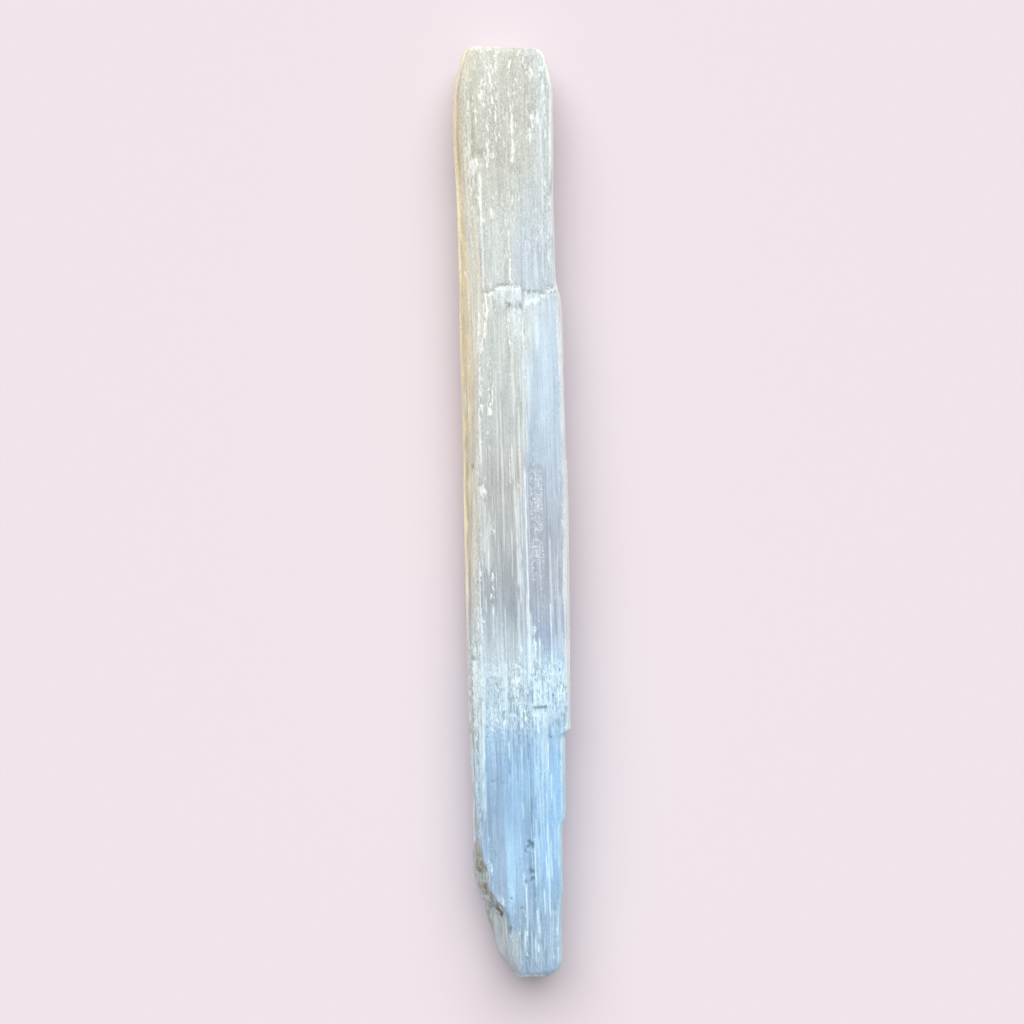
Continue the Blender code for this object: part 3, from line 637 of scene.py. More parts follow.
def add_frost(p, x, y):
    """How thick the white flecks lie.

    The upper half is weathered, the middle is glassy, and a band of the lower half is bruised
    and pitted. The slab carries crinkles in its middle.
    """
    frost = 0.14 + 0.25 * p.weathered + 0.14 * rise(y, 12, 18) * (1 - p.weathered) * (x < SLAB_LEFT)
    bruised = rise(y, -52, 8) * (0.45 + 0.12 * noise(x / 0.9, y / 9.0, 213))
    frost = frost + bruised * p.pitted + 0.06 * fall(y, -66, 10) + 0.14 * p.clumps
    frost = frost - 0.10 * rise(x, 3, 1) * fall(y, 42, 4) * rise(y, -20, 12)
    p.frost = frost * p.above + p.side * 0.34 + p.under * 0.40
    for line_x, start, end, width, density in FLECK_LINES:
        across = bell(x - line_x - 0.15 * noise(y / 3.0, 0 * y, 91), 0.62 * width)
        string = (density + 0.22 * p.clumps) * across * within(y, end, start, 3) * p.above
        p.frost = most(p.frost, string)
    for blob in ragged_blobs(x, y, BRUISES, 1.55, 0.25, 0.7, 1.4, 57):
        bruise = 0.78 * blob * p.above
        p.frost = most(p.frost, bruise)
        p.relief += 0.06 * bruise * noise(p.fibre / 0.35, y / 1.2, 55)
    crinkle = fall(x, 6.4, 0.8) * np.clip(0.88 + 0.4 * noise(x / 1.3, y / 2.6, 221), 0, 1)
    crinkle = most(crinkle, 0.45 * fall(x, 7.2, 0.6)) * rise(x, 2.7, 0.5)
    p.crinkle = crinkle * p.above * fall(y, 11, 3) * rise(y, -22, 8)
    p.relief += noise(p.fibre / 0.30, y / 0.9, 41) * 0.014 * np.clip(p.frost * 1.6, 0, 1)
    p.relief += noise(x / 0.42, y / 0.42, 43) * 0.018 * p.crinkle


def add_lines(p, x, y):
    """The pale lines, which stand up a little, and the dark grooves. Both are a bit broken."""
    for *line, strength in PALE_LINES:
        seed = 60 + int(abs(line[0]) * 10)
        wobble = 0.05 * noise(y / 2.5, 0 * y, seed)
        ridge = strength * near_line(x + wobble, y, *line) * p.above
        p.line = most(p.line, ridge * np.clip(0.80 + 0.35 * noise(x / 0.6, y / 1.5, seed), 0, 1))
        p.relief += 0.05 * ridge
    for *line, strength in DARK_GROOVES:
        seed = 90 + int(abs(line[0]) * 10)
        broken = np.clip(0.6 + 0.6 * noise(x / 0.4, y / 1.3, seed), 0, 1)
        groove = strength * near_line(x, y, *line) * p.above * broken
        p.dark = most(p.dark, groove)
        p.relief -= 0.09 * groove


def add_cracks(p, x, y):
    """The cracks across the fibres, and the hollows that lie in shade beside them."""
    for half_width, crack in CROSS_CRACKS:
        xs, ys = zip(*crack)
        away = np.abs(y - (np.interp(x, xs, ys) + 0.26 * torn(x, 0.34, 77)))
        width = half_width * (1.1 + 0.8 * noise(x / 0.6, y * 0, 79))
        line = np.clip(1.5 - away / width, 0, 1) * within(x, xs[0], xs[-1], 0.3) * p.above
        broken = rise(noise(x / 0.30, y / 0.4, 83), -0.35, 0.4)
        p.scar = most(p.scar, line * (0.30 + 0.65 * broken))
        p.relief -= 0.12 * line
        chipped = ease(2 - away / 0.6) * within(x, xs[0], xs[-1], 0.5) * p.above * (y > 40)
        chipped = chipped * rise(noise(x / 0.45, y / 0.55, 85), 0.1, 0.3)
        p.frost = most(p.frost, 0.75 * chipped)
    # Painted shade: the hollows and steps at the upper break are darkened in colour.
    for shade in ragged_blobs(x, y, SHADES, 1.5, 0.35, 0.4, 0.7, 87):
        p.scar = most(p.scar, 0.5 * shade * p.above)
        p.relief -= 0.08 * shade * p.above


def add_pits(p, x, y):
    """Single pits with a bruised lip on the right, and the many small ones of the pitted band."""
    for pit_x, pit_y, radius, depth, darkness in PITS:
        away = radii_away(x, y, pit_x, pit_y, 1, 1.25)
        away = away / (radius * (1 + 0.5 * noise(x / 0.35, y / 0.6, 101)))
        bowl = np.clip(1 - away**2, 0, 1) * p.above
        p.relief -= depth * bowl
        p.scar = most(p.scar, darkness * ease(bowl * 1.6))
        lip = bell(away - 1.25, 0.25) * (x > pit_x) * p.above
        p.frost = most(p.frost, 0.8 * darkness * lip)
    hole = rise(noise(x / 0.55, y / 1.3, 201), 0.3, 0.25)
    hole = hole * rise(noise(x / 0.3, y / 0.8, 203), -0.1, 0.3)
    hole = hole * p.pitted * p.top * rise(x, -6.5, 2) * fall(x, 7.5, 2)
    p.relief -= 0.07 * hole
    p.dark = most(p.dark, 0.5 * hole)


def break_corner(p, x, y):
    """The broken corner: splintered above, and a plain cleavage face below."""
    p.hackly = p.facet * fall(y, CORNER_BREAK_AT, 4) * rise(y, -88, 3) * rise(p.z, 6, 2.5)
    splintered = 0.15 * splinters(x, y, 0.75, 5.0, 301) + 0.15 * splinters(x, y, 0.36, 2.4, 311)
    p.relief += p.hackly * (splintered + 0.10 * noise(x / 1.1, y / 2.6, 321))
    streaky = 0.9 * noise(x / 0.5, y / 7.0, 331)
    below = 0.75 * p.above * fall(y, -86.5, 5) * step(cleavage_line(y) - x + streaky, 0, 1.6)
    p.cleaved = most(below, p.facet * fall(y, CORNER_BREAK_AT, 4) * fall(x, p.ridge - 0.2, 0.5))


def wear_edges(p, x, y):
    """What stands above its neighbours is bruised white, and what lies below them is darkened as
    painted shade.

    The outline's right edge, its left edge and both ends carry a pale rim: partly rubbed wear,
    partly a painted highlight.
    """
    standing = p.relief - blur(p.relief, 4, 2)
    rubbed = p.worn * (1 - 0.6 * fall(np.abs(y - UPPER_PART_AT), 4, 2) * rise(x, SLAB_LEFT, 0.5))
    p.frost = most(p.frost, 0.62 * rise(standing, 0.02, 0.09) * (p.above + 0.8 * p.side) * rubbed)
    # Painted shade: what lies below its neighbours is darkened.
    p.dark = most(p.dark, 0.35 * fall(standing, -0.03, 0.10) * p.worn)
    ridge_wear = bell(x - p.ridge - 0.10 + p.wobble, 0.42 - 0.2 * fall(y, -40, 6))
    wear = 0.72 + 0.3 * p.clumps - 0.30 * fall(y, LOW_STEP_AT, 4) - 0.42 * rise(y, UPPER_PART_AT, 6)
    p.frost = most(p.frost, wear * p.above * ridge_wear * rise(y, -84, 4))

    # The pale rim: partly rubbed wear, partly a painted highlight along the edges and the ends.
    inward = p.right - x - p.wobble
    edge = 0.6 * fall(inward, rim_width(y), 0.4) + 0.4 * fall(inward, 0.7, 0.3)
    end = most(rise(y, 99.2, 0.5), fall(y, -99.3, 0.5)) * (p.above + 0.25 * p.side)
    end = end * ease((p.z - 9) / 4 + 0.4 * noise(x / 0.9, p.z / 0.9, 137))
    end = end * (0.30 + 0.70 * ease(1.6 * noise(x / 0.7, p.z / 1.1, 138) + 0.5))
    end = end * (1 - 0.75 * fall(y, -98, 1) * fall(x, -3, 1))
    p.frost = most(p.frost, 0.50 * most(rise(y, 97, 3), fall(y, -98.4, 1.4)) * p.above)
    p.rim = most(edge * rise(p.z, 11.6, 2.2), end)
    # The left rim: partly worn, partly a painted highlight.
    p.left_rim = step(p.left + 0.62 - x + p.wobble, 0, 0.3) * rise(p.z, 8, 2.4)
    p.left_rim *= (1 - 0.15 * fall(y, -12, 30)) * rise(y, -92, 6)
    p.left_rim *= rise(p.z + 1.6 * noise(y / 6, p.z / 1.2, 139), 7.5, 4.5)


def stain_left_side(p, x, y):
    """The left facet: tan where it is stained, with a paler frosted band beside the ridge."""
    upward = rise(y, -40, 34)
    edge = stain_line(y) + 0.5 * noise(x / 0.5, y / 6.0, 141)
    stain = p.on_left * step(edge - x, 0, 2.2) * upward
    bevelled = p.facet * fall(x, p.ridge - 0.2, 0.8)
    wall = p.left_wall * fall(p.z, 11, 2) * fall(x, p.left + 2.2, 1.4)
    stain = most(stain, 0.35 * bevelled * upward * rise(y, 10, 30))
    stain = most(stain, 0.9 * wall * upward)
    p.stain = most(stain, 0.30 * p.top * fall(x, -4, 3) * rise(y, UPPER_PART_AT, 20))
    band_start = bevel_edge(y) + 0.15 - 0.9 * rise(y, 44, 6)
    band = p.facet * step(x, band_start, 0.6) * rise(y, -88, 8) * (1 - 0.55 * rise(y, 64, 8))
    band = band * (1 - 0.9 * rise(y, UPPER_PART_AT, 8) * rise(x, -7.7, 0.8))
    frosty = p.facet * fall(y, -16, 20) * rise(y, -74, 12)
    frosty = frosty * np.clip(0.95 - 0.5 * fall(y, -46, 8) + 0.4 * p.clumps, 0, 1)
    p.band = most(band, frosty)
    p.olive = p.on_left * bell(x - p.left - 0.75, 0.42) * fall(y, -18, 12) * rise(y, -72, 6)
    p.olive *= ease(noise(x / 0.9, y / 4.0, 167) * 1.2 + 0.75)
    under_rim = p.on_left * bell(x - p.left - 0.90, 0.28) * rise(y, -30, 20)
    under_rim = under_rim * (0.75 - 0.75 * rise(y, UPPER_PART_AT, 4) + 0.5 * rise(y, 70, 5))
    p.dark = most(p.dark, under_rim * ease(noise(x / 0.6, y / 3.0, 163) + 0.6))
    p.mottled = p.facet * fall(y, -24, 8) * (1 - 0.55 * fall(y, -46, 8)) * rise(y, -76, 8)
    p.mottled *= fall(x, -8.8, 0.6) * rise(p.z, 9, 3)


def add_dirt(p, x, y):
    """Dirt lies in blots on the broken corner, and darkest in the crack at its foot."""
    clean = ease(1.6 - radii_away(x, y, -8.8, -83.1, 1.1, 0.9))
    grime = 0.22 * p.hackly * (1 - clean)
    spread = (p.above + p.side * (x < 0)) * rise(p.z, 5, 5)
    for blot in ragged_blobs(x, y, DIRT, 1.5, 0.3, 0.5, 1.3, 151):
        grime = most(grime, blot * spread)
    p.grime = most(grime, 0.80 * p.olive * fall(y, -42, 8))
    spots = 0.45 * rise(noise(x / 0.45, y / 1.6, 161), 0.2, 0.3) * rise(p.grime, 0.55, 0.3)
    away = np.abs(y - foot_crack(x) - 0.12 * torn(x, 0.3, 89))
    crack = np.clip(1.6 - away / 0.26, 0, 1) * rise(x, -7.6, 0.4) * fall(x, -5.3, 0.2)
    crack = most(crack, ease(2 * (1.3 - radii_away(x, y, -5.70, -86.6, 0.30, 0.55)))) * p.above
    p.spots = most(spots, crack * np.interp(x, (-7.5, -5.8), (0.55, 1.0)))
    p.relief -= 0.30 * crack
    p.frost = p.frost * (1 - np.clip(1.4 * most(p.spots, p.scar), 0, 1)) * (1 - 0.7 * p.dark)


def slab_share(x, y):
    """0 on the greyer left side of the top, and 1 on the bluer right side."""
    wander = 0.35 * noise(x / 2.0, y / 9.0, 61)
    upper_soft = 2.3 + 4.5 * rise(y, 58, 14)
    upper = ease((x - 1.4 - 5 * rise(y, 54, 34) + 1.4 * wander) / upper_soft + 0.5)
    soft = 1.2 + 1.8 * rise(y, 12, 24) + 2.6 * fall(y, 6, 10)
    patchy = (wander + 0.6 * noise(x / 0.45, y / 5.0, 63)) * (0.4 + soft / 3)
    middle = ease((x - slab_tone_line(y) + patchy) / soft + 0.5)
    lower = 0.55 * step(x, gleam_line(y), 0.35) * fall(y, -46, 10)
    lower = lower + (1 - lower) * ease((x - 2.0 + wander) / 2.4 + 0.5)
    share = middle + (upper - middle) * rise(y, 40, 8)
    return share + (lower - share) * fall(y, -34, 14)


def add_tones(p, x, y):
    """A milky veil beside the upper part of the slab, a painted blue sheen in a strip beside the
    broken corner, and how lively the fine streaks are."""
    veiled = x + 0.9 * noise(x / 0.5, y / 7.0, 341) + 0.5 * noise(x / 1.6, y / 4.0, 343)
    milk = step(veiled, milk_line(y), 1.6) * fall(veiled - slab_tone_line(y), 2, 2.2)
    milk = milk * fall(y, 47.5, 2.5) * rise(y, 10, 12)
    plate = rise(x, -3, 0.5) * fall(x, 2.9, 0.3) * fall(y, 48.2, 0.5) * rise(y, 43.4, 1.2)
    p.milk = most(milk, plate) * p.above
    # Painted sheen: a bright sky-blue strip beside the broken corner.
    p.gleam = step(x, gleam_line(y), 0.16) * fall(x, 0.8, 4.5) * p.above
    p.gleam *= fall(y, -62, 12) * rise(y - 0.8 * x, -85, 6)
    lively = 0.45 + 0.15 * p.weathered + 0.30 * p.pitted + 0.20 * fall(y, -86, 6)
    lively = lively - 0.15 * rise(x, 2.4, 0.8) * fall(y, 44, 3) * rise(y, -12, 8)
    lively = lively - 0.12 * fall(y, -50, 5) * fall(x, 1.5, 1) * rise(y, -86, 6)
    lively = lively + 0.12 * fall(y, -48, 4) * rise(x, 1.8, 1)
    p.lively = most(lively, 0.85 * p.facet * fall(y, -20, 16) * (1 - 0.3 * fall(y, -76, 8)))
    # Painted shade: the low parts of the sides are darkened towards the underside.
    p.low = fall(p.z, 9.5, 4) * (p.side + p.on_left > 0.5)
    p.slab = slab_share(x, y)
    p.pitted = p.pitted * p.above * (0.6 + 0.4 * rise(x, -3.6, 2))


MASKS = (
    "milk", "lively", "low", "gleam", "scar", "slab", "frost", "line", "dark", "crinkle", "rim",
    "left_rim", "stain", "band", "grime", "spots", "cleaved", "mottled", "pitted", "weathered",
)


def relief_and_masks(section, x, y):
    """How far each point stands out, in millimetres, and the masks that the material reads."""
    p = surface_points(section, x, y)
    for add in (add_slats, add_frost, add_lines, add_cracks, add_pits, break_corner, wear_edges,
                stain_left_side, add_dirt, add_tones):
        add(p, x, y)
    return p.relief, {name: getattr(p, name) for name in MASKS}


# ---------------------------------------------------------------------------
# The bar's mesh.

def closed_end(ring, outward):
    """Rings that close an end, drawn in towards its middle, with the grain of cut fibres."""
    middle = ring.mean(axis=0)
    rings = []
    for k in range(1, CAP_RINGS + 1):
        share = 1 - (k / (CAP_RINGS + 0.35)) ** 0.85
        drawn = middle + (ring - middle) * share
        x, z = drawn[:, 0], drawn[:, 2]
        grain = noise(x / 0.5, z / 0.5, 171) + 0.7 * noise(x / 1.7, z / 1.7, 173)
        grain = grain + 1.2 * torn(x + 0.3 * z, 0.8, 175)
        drawn[:, 1] += outward * (grain * 0.09 - 0.12) * min(1.0, 3 * (1 - share))
        rings.append(drawn)
    return np.array(rings)


def point_values(name, field):
    """A mask's value at every point. On an end face it fades to what cut fibres have."""
    cut = CUT_FACE.get(name, 0.0)
    carried = np.clip((CARRIED_RINGS - np.arange(1, CAP_RINGS + 1)) / 5, 0, 1)[:, None]
    upper, lower = (cut + (edge - cut) * carried for edge in (field[:1], field[-1:]))
    whole = np.vstack([upper[::-1], field, lower])
    values = np.concatenate([whole.reshape(-1), whole[0, :1], whole[-1, :1]])
    return np.clip(values, 0, 1).astype(np.float32)


def selenite_mesh():
    """The whole bar as one closed mesh, with its masks as point attributes."""
    section = Section(station_places())
    section.round_off()
    y = section.y[:, None] + bend(section.x, section.y[:, None])
    relief, masks = relief_and_masks(section, section.x, y)
    under = (section.kind == "under")[None, :]
    relief = relief * ease(section.z / 0.8) * ~under
    groove = np.clip(noise(section.fibre / 1.9, y / 60, 181), 0, 1) * 0.35 * under
    x = section.x + section.nx * relief
    z = np.maximum(section.z + section.nz * relief + groove, 0.0)

    field = np.stack([x, y, z], axis=-1)
    upper, lower = closed_end(field[0], 1.0), closed_end(field[-1], -1.0)
    rings = np.concatenate([upper[::-1], field, lower])
    rows, columns = rings.shape[:2]
    middles = [upper[-1].mean(axis=0), lower[-1].mean(axis=0)]
    points = np.vstack([rings.reshape(-1, 3), middles]) * MM

    this = np.arange(rows * columns).reshape(rows, columns)
    after = np.roll(this, -1, axis=1)
    quads = np.stack([this[:-1], this[1:], after[1:], after[:-1]], axis=-1).reshape(-1, 4)
    first, last = len(points) - 2, len(points) - 1
    fans = []
    for column in range(columns):
        fans.append((first, this[0, column], after[0, column]))
        fans.append((last, after[-1, column], this[-1, column]))

    mesh = bpy.data.meshes.new("selenite_bar")
    mesh.from_pydata(points.tolist(), [], quads.tolist() + fans)
    mesh.update()
    mesh.polygons.foreach_set("use_smooth", [True] * len(mesh.polygons))
    for name, mask in masks.items():
        layer = mesh.attributes.new(name, "FLOAT", "POINT")
        layer.data.foreach_set("value", point_values(name, mask))
    return mesh


# ---------------------------------------------------------------------------
# Material.

def srgb(red, green, blue):
    """A colour given as 0 to 255 display values, as the linear colour that shaders take."""
    def linear(value):
        value /= 255
        return value / 12.92 if value <= 0.04045 else ((value + 0.055) / 1.055) ** 2.4
    return (linear(red), linear(green), linear(blue), 1.0)


CREAM_PEARL = srgb(197, 199, 188)
SILVER_PEARL = srgb(196, 202, 199)
DOVE_GREY = srgb(184, 188, 188)
STEEL_GREY = srgb(165, 174, 182)
ICE_BLUE = srgb(200, 218, 229)
SKY_BLUE = srgb(176, 206, 228)
DUSK_BLUE = srgb(154, 187, 218)
STORM_BLUE = srgb(147, 176, 204)
CORNFLOWER = srgb(154, 181, 208)
MIST_PEARL = srgb(203, 209, 205)
MIST_BLUE = srgb(154, 178, 197)
PALE_ICE = srgb(193, 213, 227)
LAVENDER_GREY = srgb(174, 184, 197)
CRINKLE_GREY = srgb(160, 168, 184)
BRIGHT_BLUE = srgb(189, 220, 242)
CLEAR_BLUE = srgb(152, 195, 231)
FROST_WHITE = srgb(249, 251, 246)
ICE_WHITE = srgb(236, 247, 250)
COOL_WHITE = srgb(231, 251, 255)
RIM_WHITE = srgb(247, 250, 246)
RIM_COOL = srgb(250, 255, 255)
RIM_BLUE = srgb(222, 248, 255)
RIM_SKY = srgb(204, 240, 255)
RIM_ICE = srgb(243, 252, 255)
RIM_CREAM = srgb(250, 245, 226)
GROOVE_GREY = srgb(132, 142, 144)
GROOVE_BLUE = srgb(100, 132, 160)
SAND_TAN = srgb(228, 221, 196)
HONEY_SAND = srgb(243, 226, 184)
OCHRE_SAND = srgb(228, 211, 174)
WARM_TAN = srgb(222, 207, 170)
RIM_DUSK = srgb(238, 243, 249)
RIM_FROST = srgb(246, 255, 255)
RIM_SILVER = srgb(255, 252, 238)
RIM_SAND = srgb(255, 250, 236)
PEACH_CREAM = srgb(255, 242, 202)
BAND_CREAM = srgb(224, 225, 212)
BAND_FROST = srgb(206, 214, 215)
BAND_CLEAR = srgb(192, 214, 228)
BAND_DUSK = srgb(180, 204, 222)
MILK_ICE = srgb(223, 238, 243)
GREY_ICE = srgb(196, 208, 216)
SILVER_ICE = srgb(196, 204, 203)
SHADE_ICE = srgb(186, 203, 217)
COOL_ICE = srgb(193, 212, 226)
DUSK_ICE = srgb(164, 190, 214)
SLAB_DUSK = srgb(151, 184, 213)
GROOVE_TAN = srgb(184, 162, 122)
MOSS_GREY = srgb(187, 200, 203)
LOW_SHADE_PEARL = srgb(168, 166, 158)
LOW_SHADE_BLUE = srgb(140, 158, 174)
GRIME_PALE = srgb(182, 181, 166)
GRIME_BROWN = srgb(136, 134, 116)
GRIME_DARK = srgb(84, 70, 60)
SCAR_SHADE_GREY = srgb(138, 146, 146)
SCAR_SHADE_BLUE = srgb(112, 144, 162)
SKY_GLEAM = srgb(178, 219, 248)
SKY_WHITE = srgb(213, 245, 255)
OLIVE_DUST = srgb(152, 160, 156)
LAVENDER_DEEP = srgb(160, 177, 200)
PALE_TAN = srgb(238, 222, 186)

class Signal:
    """A node's output. Arithmetic on it adds Math nodes."""

    def __init__(self, shader, socket):
        self.shader, self.socket = shader, socket

    def __add__(self, other):
        return self.shader.math("ADD", self, other)

    def __sub__(self, other):
        return self.shader.math("SUBTRACT", self, other)

    def __mul__(self, other):
        return self.shader.math("MULTIPLY", self, other)

    def most(self, other):
        return self.shader.math("MAXIMUM", self, other)


class Shader:
    """Adds nodes to a material. An input is a Signal or a plain value."""

    def __init__(self, material):
        material.use_nodes = True
        self.tree = material.node_tree
        self.surface = self.tree.nodes["Principled BSDF"]
        self.place = self.add("ShaderNodeTexCoord", "Object")
        self.along = self.add("ShaderNodeSeparateXYZ", "Y", {0: self.place})

    def connect(self, node, inputs):
        for key, value in inputs.items():
            if isinstance(value, Signal):
                self.tree.links.new(value.socket, node.inputs[key])
            else:
                node.inputs[key].default_value = value

    def add(self, kind, output, inputs=None, **settings):
        """Adds a node and gives one of its outputs."""
        node = self.tree.nodes.new(kind)
        for name, value in settings.items():
            setattr(node, name, value)
        self.connect(node, inputs or {})
        return Signal(self, node.outputs[output])

    def mask(self, name):
        return self.add("ShaderNodeAttribute", "Fac", attribute_name=name)

    def noise(self, across, along, detail=2.0, roughness=0.5, distortion=0.0):
        """Noise whose features are about so many millimetres across and along the fibres."""
        scale = (1 / (across * MM), 1 / (along * MM), 1 / (across * MM))
        place = self.add("ShaderNodeMapping", 0, {"Vector": self.place, "Scale": scale})
        inputs = {"Vector": place, "Scale": 1.0, "Detail": detail, "Roughness": roughness,
                  "Distortion": distortion}
        return self.add("ShaderNodeTexNoise", "Fac", inputs)

    def span(self, value, low, high, to_low=0.0, to_high=1.0, kind="SMOOTHSTEP"):
        """Maps low to to_low and high to to_high, and clamps."""
        inputs = {"Value": value, "From Min": low, "From Max": high, "To Min": to_low,
                  "To Max": to_high}
        return self.add("ShaderNodeMapRange", "Result", inputs, interpolation_type=kind)

    def math(self, operation, first, second, clamp=False):
        inputs = {0: first, 1: second}
        return self.add("ShaderNodeMath", 0, inputs, operation=operation, use_clamp=clamp)

    def mix(self, share, first, second):
        return self.add("ShaderNodeMix", 2, {0: share, 6: first, 7: second}, data_type="RGBA")

    def towards(self, low_end, from_y, to_y, high_end):
        """One colour up to a place along the stick, changing to another by a second place."""
        return self.mix(self.span(self.along, from_y * MM, to_y * MM), low_end, high_end)

    def ramp_along(self, *stops):
        """A colour that changes along the stick: (place along, colour)."""
        share = self.span(self.along, -HALF * MM, HALF * MM, kind="LINEAR")
        ramp = self.add("ShaderNodeValToRGB", "Color", {0: share})
        elements = ramp.socket.node.color_ramp.elements
        while len(elements) < len(stops):
            elements.new(0.5)
        for element, (place, colour) in zip(elements, stops):
            element.position = (place + HALF) / LENGTH
            element.color = colour
        return ramp


def spar_body(s):
    """From a warm pearl at the upper end, through grey, to blue, and bluer on the slab."""
    body = s.ramp_along(
        (-100, MIST_BLUE), (-88, MIST_BLUE), (-78, CORNFLOWER), (-64, STORM_BLUE),
        (-53, DUSK_BLUE), (-46, SKY_BLUE), (-34, ICE_BLUE), (-20, STEEL_GREY), (0, DOVE_GREY),
        (26, SILVER_PEARL), (48, MIST_PEARL), (60, MIST_PEARL), (76, CREAM_PEARL),
        (100, CREAM_PEARL),
    )
    slab = s.ramp_along(
        (-100, DUSK_ICE), (-94, DUSK_ICE), (-85, SLAB_DUSK), (-74, CLEAR_BLUE),
        (-52, CLEAR_BLUE), (-44, BRIGHT_BLUE), (-34, BRIGHT_BLUE), (-26, LAVENDER_DEEP),
        (-18, LAVENDER_GREY), (-4, LAVENDER_GREY), (10, SHADE_ICE), (22, COOL_ICE),
        (37, PALE_ICE), (46, GREY_ICE), (56, GREY_ICE), (70, SILVER_ICE), (100, SILVER_PEARL),
    )
    colour = s.mix(s.mask("slab"), body, slab)
    veil = s.mask("milk") * s.span(s.noise(0.6, 6.0, detail=3.0), 0.35, 0.6, 0.2, 0.8)
    colour = s.mix(veil, colour, MILK_ICE)
    # Painted sheen beside the broken corner.
    colour = s.mix(s.mask("gleam") * 0.9, colour, SKY_GLEAM)
    return s.mix(s.span(s.mask("crinkle"), 0.05, 0.45, 0.0, 0.5), colour, CRINKLE_GREY)


def stained_side(s, t, colour):
    """The left side is stained, and has a paler band beside the ridge and a bright rim that is
    partly worn and partly a painted highlight.
    """
    sand = s.ramp_along((-100, SAND_TAN), (30, SAND_TAN), (50, HONEY_SAND), (66, HONEY_SAND),
                        (76, OCHRE_SAND))
    ochre = s.ramp_along((-100, WARM_TAN), (42, WARM_TAN), (52, PALE_TAN), (70, PALE_TAN),
                         (78, WARM_TAN))
    warm = s.mix(s.span(s.noise(0.5, 3.5, detail=4.0, roughness=0.65), 0.38, 0.62), sand, ochre)
    pale = s.ramp_along((-100, BAND_DUSK), (-70, BAND_DUSK), (-54, BAND_CLEAR),
                        (-40, BAND_FROST), (-26, BAND_FROST), (-5, BAND_CREAM),
                        (100, BAND_CREAM))
    outer = s.ramp_along((-100, RIM_DUSK), (-70, RIM_DUSK), (-53, RIM_FROST), (-45, RIM_SILVER),
                         (-16, RIM_SAND), (2, PEACH_CREAM), (100, PEACH_CREAM))
    colour = s.mix(s.mask("stain") * s.span(t.cloud, 0.25, 0.6, 0.75, 1.0), colour, warm)
    colour = s.mix(s.mask("band") * s.span(t.grain, 0.3, 0.6, 0.35, 0.9), colour, pale)
    # Left rim: partly worn edge, partly painted highlight.
    colour = s.mix(s.mask("left_rim") * 0.95, colour, outer)
    return s.mix(s.mask("cleaved") * 0.85, colour, MOSS_GREY)


def streaked(s, t, colour):
    """Light and dark streaks, and a fine mottle."""
    tone = s.span(t.hair, 0.25, 0.75, -0.20, 0.20) + s.span(t.speckle, 0.3, 0.7, -0.13, 0.13)
    tone = tone * s.mask("lively") + s.span(t.strand, 0.3, 0.7, -0.08, 0.08)
    gritty = s.span(s.mask("frost"), 0.05, 0.5, 0.4, 1.0)
    tone = tone + s.span(t.grain, 0.3, 0.7, -0.14, 0.14) * gritty
    tone = tone + s.span(t.cloud, 0.3, 0.7, 0.95, 1.05)
    inputs = {"Value": tone, "Color": colour, "Fac": 1.0}
    return s.add("ShaderNodeHueSaturation", "Color", inputs)


def grooved(s, t, colour):
    """Grooves and pits are darker: grey above, blue below. Dirt lies in the broken corner."""
    groove = s.mix(s.mask("stain"), s.towards(GROOVE_GREY, -20, -45, GROOVE_BLUE), GROOVE_TAN)
    score = s.span(t.thread, 0.36, 0.29) * t.clear
    deep = (s.mask("dark") * 0.80).most(t.pocked * 0.80).most(score * 0.30)
    colour = s.mix(deep, colour, groove)
    dusty = s.mask("mottled") * s.span(t.mottle, 0.52, 0.42, 0.0, 0.8)
    colour = s.mix(dusty, colour, OLIVE_DUST)
    dirt = s.span(s.noise(0.35, 2.2, detail=3.0), 0.38, 0.62)
    return s.mix(s.mask("grime") * 0.85, colour, s.mix(dirt, GRIME_PALE, GRIME_BROWN))


def frost_signals(s, t):
    """White flecks that crowd together where the mask is high, and all that is frosted: they,
    threads that run along the fibres, the pale lines, the crinkles and curls."""
    level = s.span(s.mask("frost"), 0.0, 1.0, 0.72, 0.33, kind="LINEAR")
    fine = s.noise(0.34, 1.2, detail=3.0, roughness=0.7)
    fleck = t.fleck + (fine - t.fleck) * s.mask("pitted")
    flecks = s.math("MULTIPLY", fleck - level, 11.5, clamp=True)
    threads = s.span(t.thread, 0.60, 0.68) * t.clear
    curl = s.math("ABSOLUTE", s.noise(0.95, 0.85, detail=1.0, distortion=1.4) - 0.5, 0.0)
    curl = s.span(curl, 0.060, 0.018) * s.span(s.mask("crinkle"), 0.5, 0.85)
    curl = curl * s.span(t.cloud, 0.36, 0.56, 0.25, 1.0)
    curds = s.mask("mottled") * s.span(t.mottle, 0.54, 0.60, 0.0, 0.85)
    frosted = (flecks * 0.92).most(threads * 0.45).most(curl * 0.70)
    return flecks, frosted.most(curds).most(s.mask("line") * 0.95)


def frosted_over(s, t, colour, frosted):
    """The frost, the pale rim that is partly rubbed wear and partly a painted highlight, and the
    painted shade on the low parts of the sides and end faces.
    """
    white = s.mix(s.mask("slab") * 0.8, FROST_WHITE, ICE_WHITE)
    white = s.towards(white, 4, -36, COOL_WHITE)
    white = s.towards(white, -46, -58, SKY_WHITE)
    white = s.mix(s.mask("cleaved") * 0.8, white, BAND_CREAM)
    rim = s.ramp_along((-100, RIM_ICE), (-97, RIM_SKY), (-80, RIM_SKY), (-52, RIM_BLUE),
                       (-34, RIM_COOL), (30, RIM_COOL), (62, RIM_WHITE), (94, RIM_WHITE),
                       (99, RIM_CREAM))
    colour = s.mix(frosted, colour, white)
    # Rim: partly worn edge, partly painted highlight.
    colour = s.mix(s.mask("rim") * s.span(t.grain, 0.3, 0.6, 0.7, 0.95), colour, rim)
    # Painted shade: the low parts of the sides and the end faces are darker.
    return s.mix(s.mask("low") * 0.5, colour, s.towards(LOW_SHADE_BLUE, -40, 10, LOW_SHADE_PEARL))


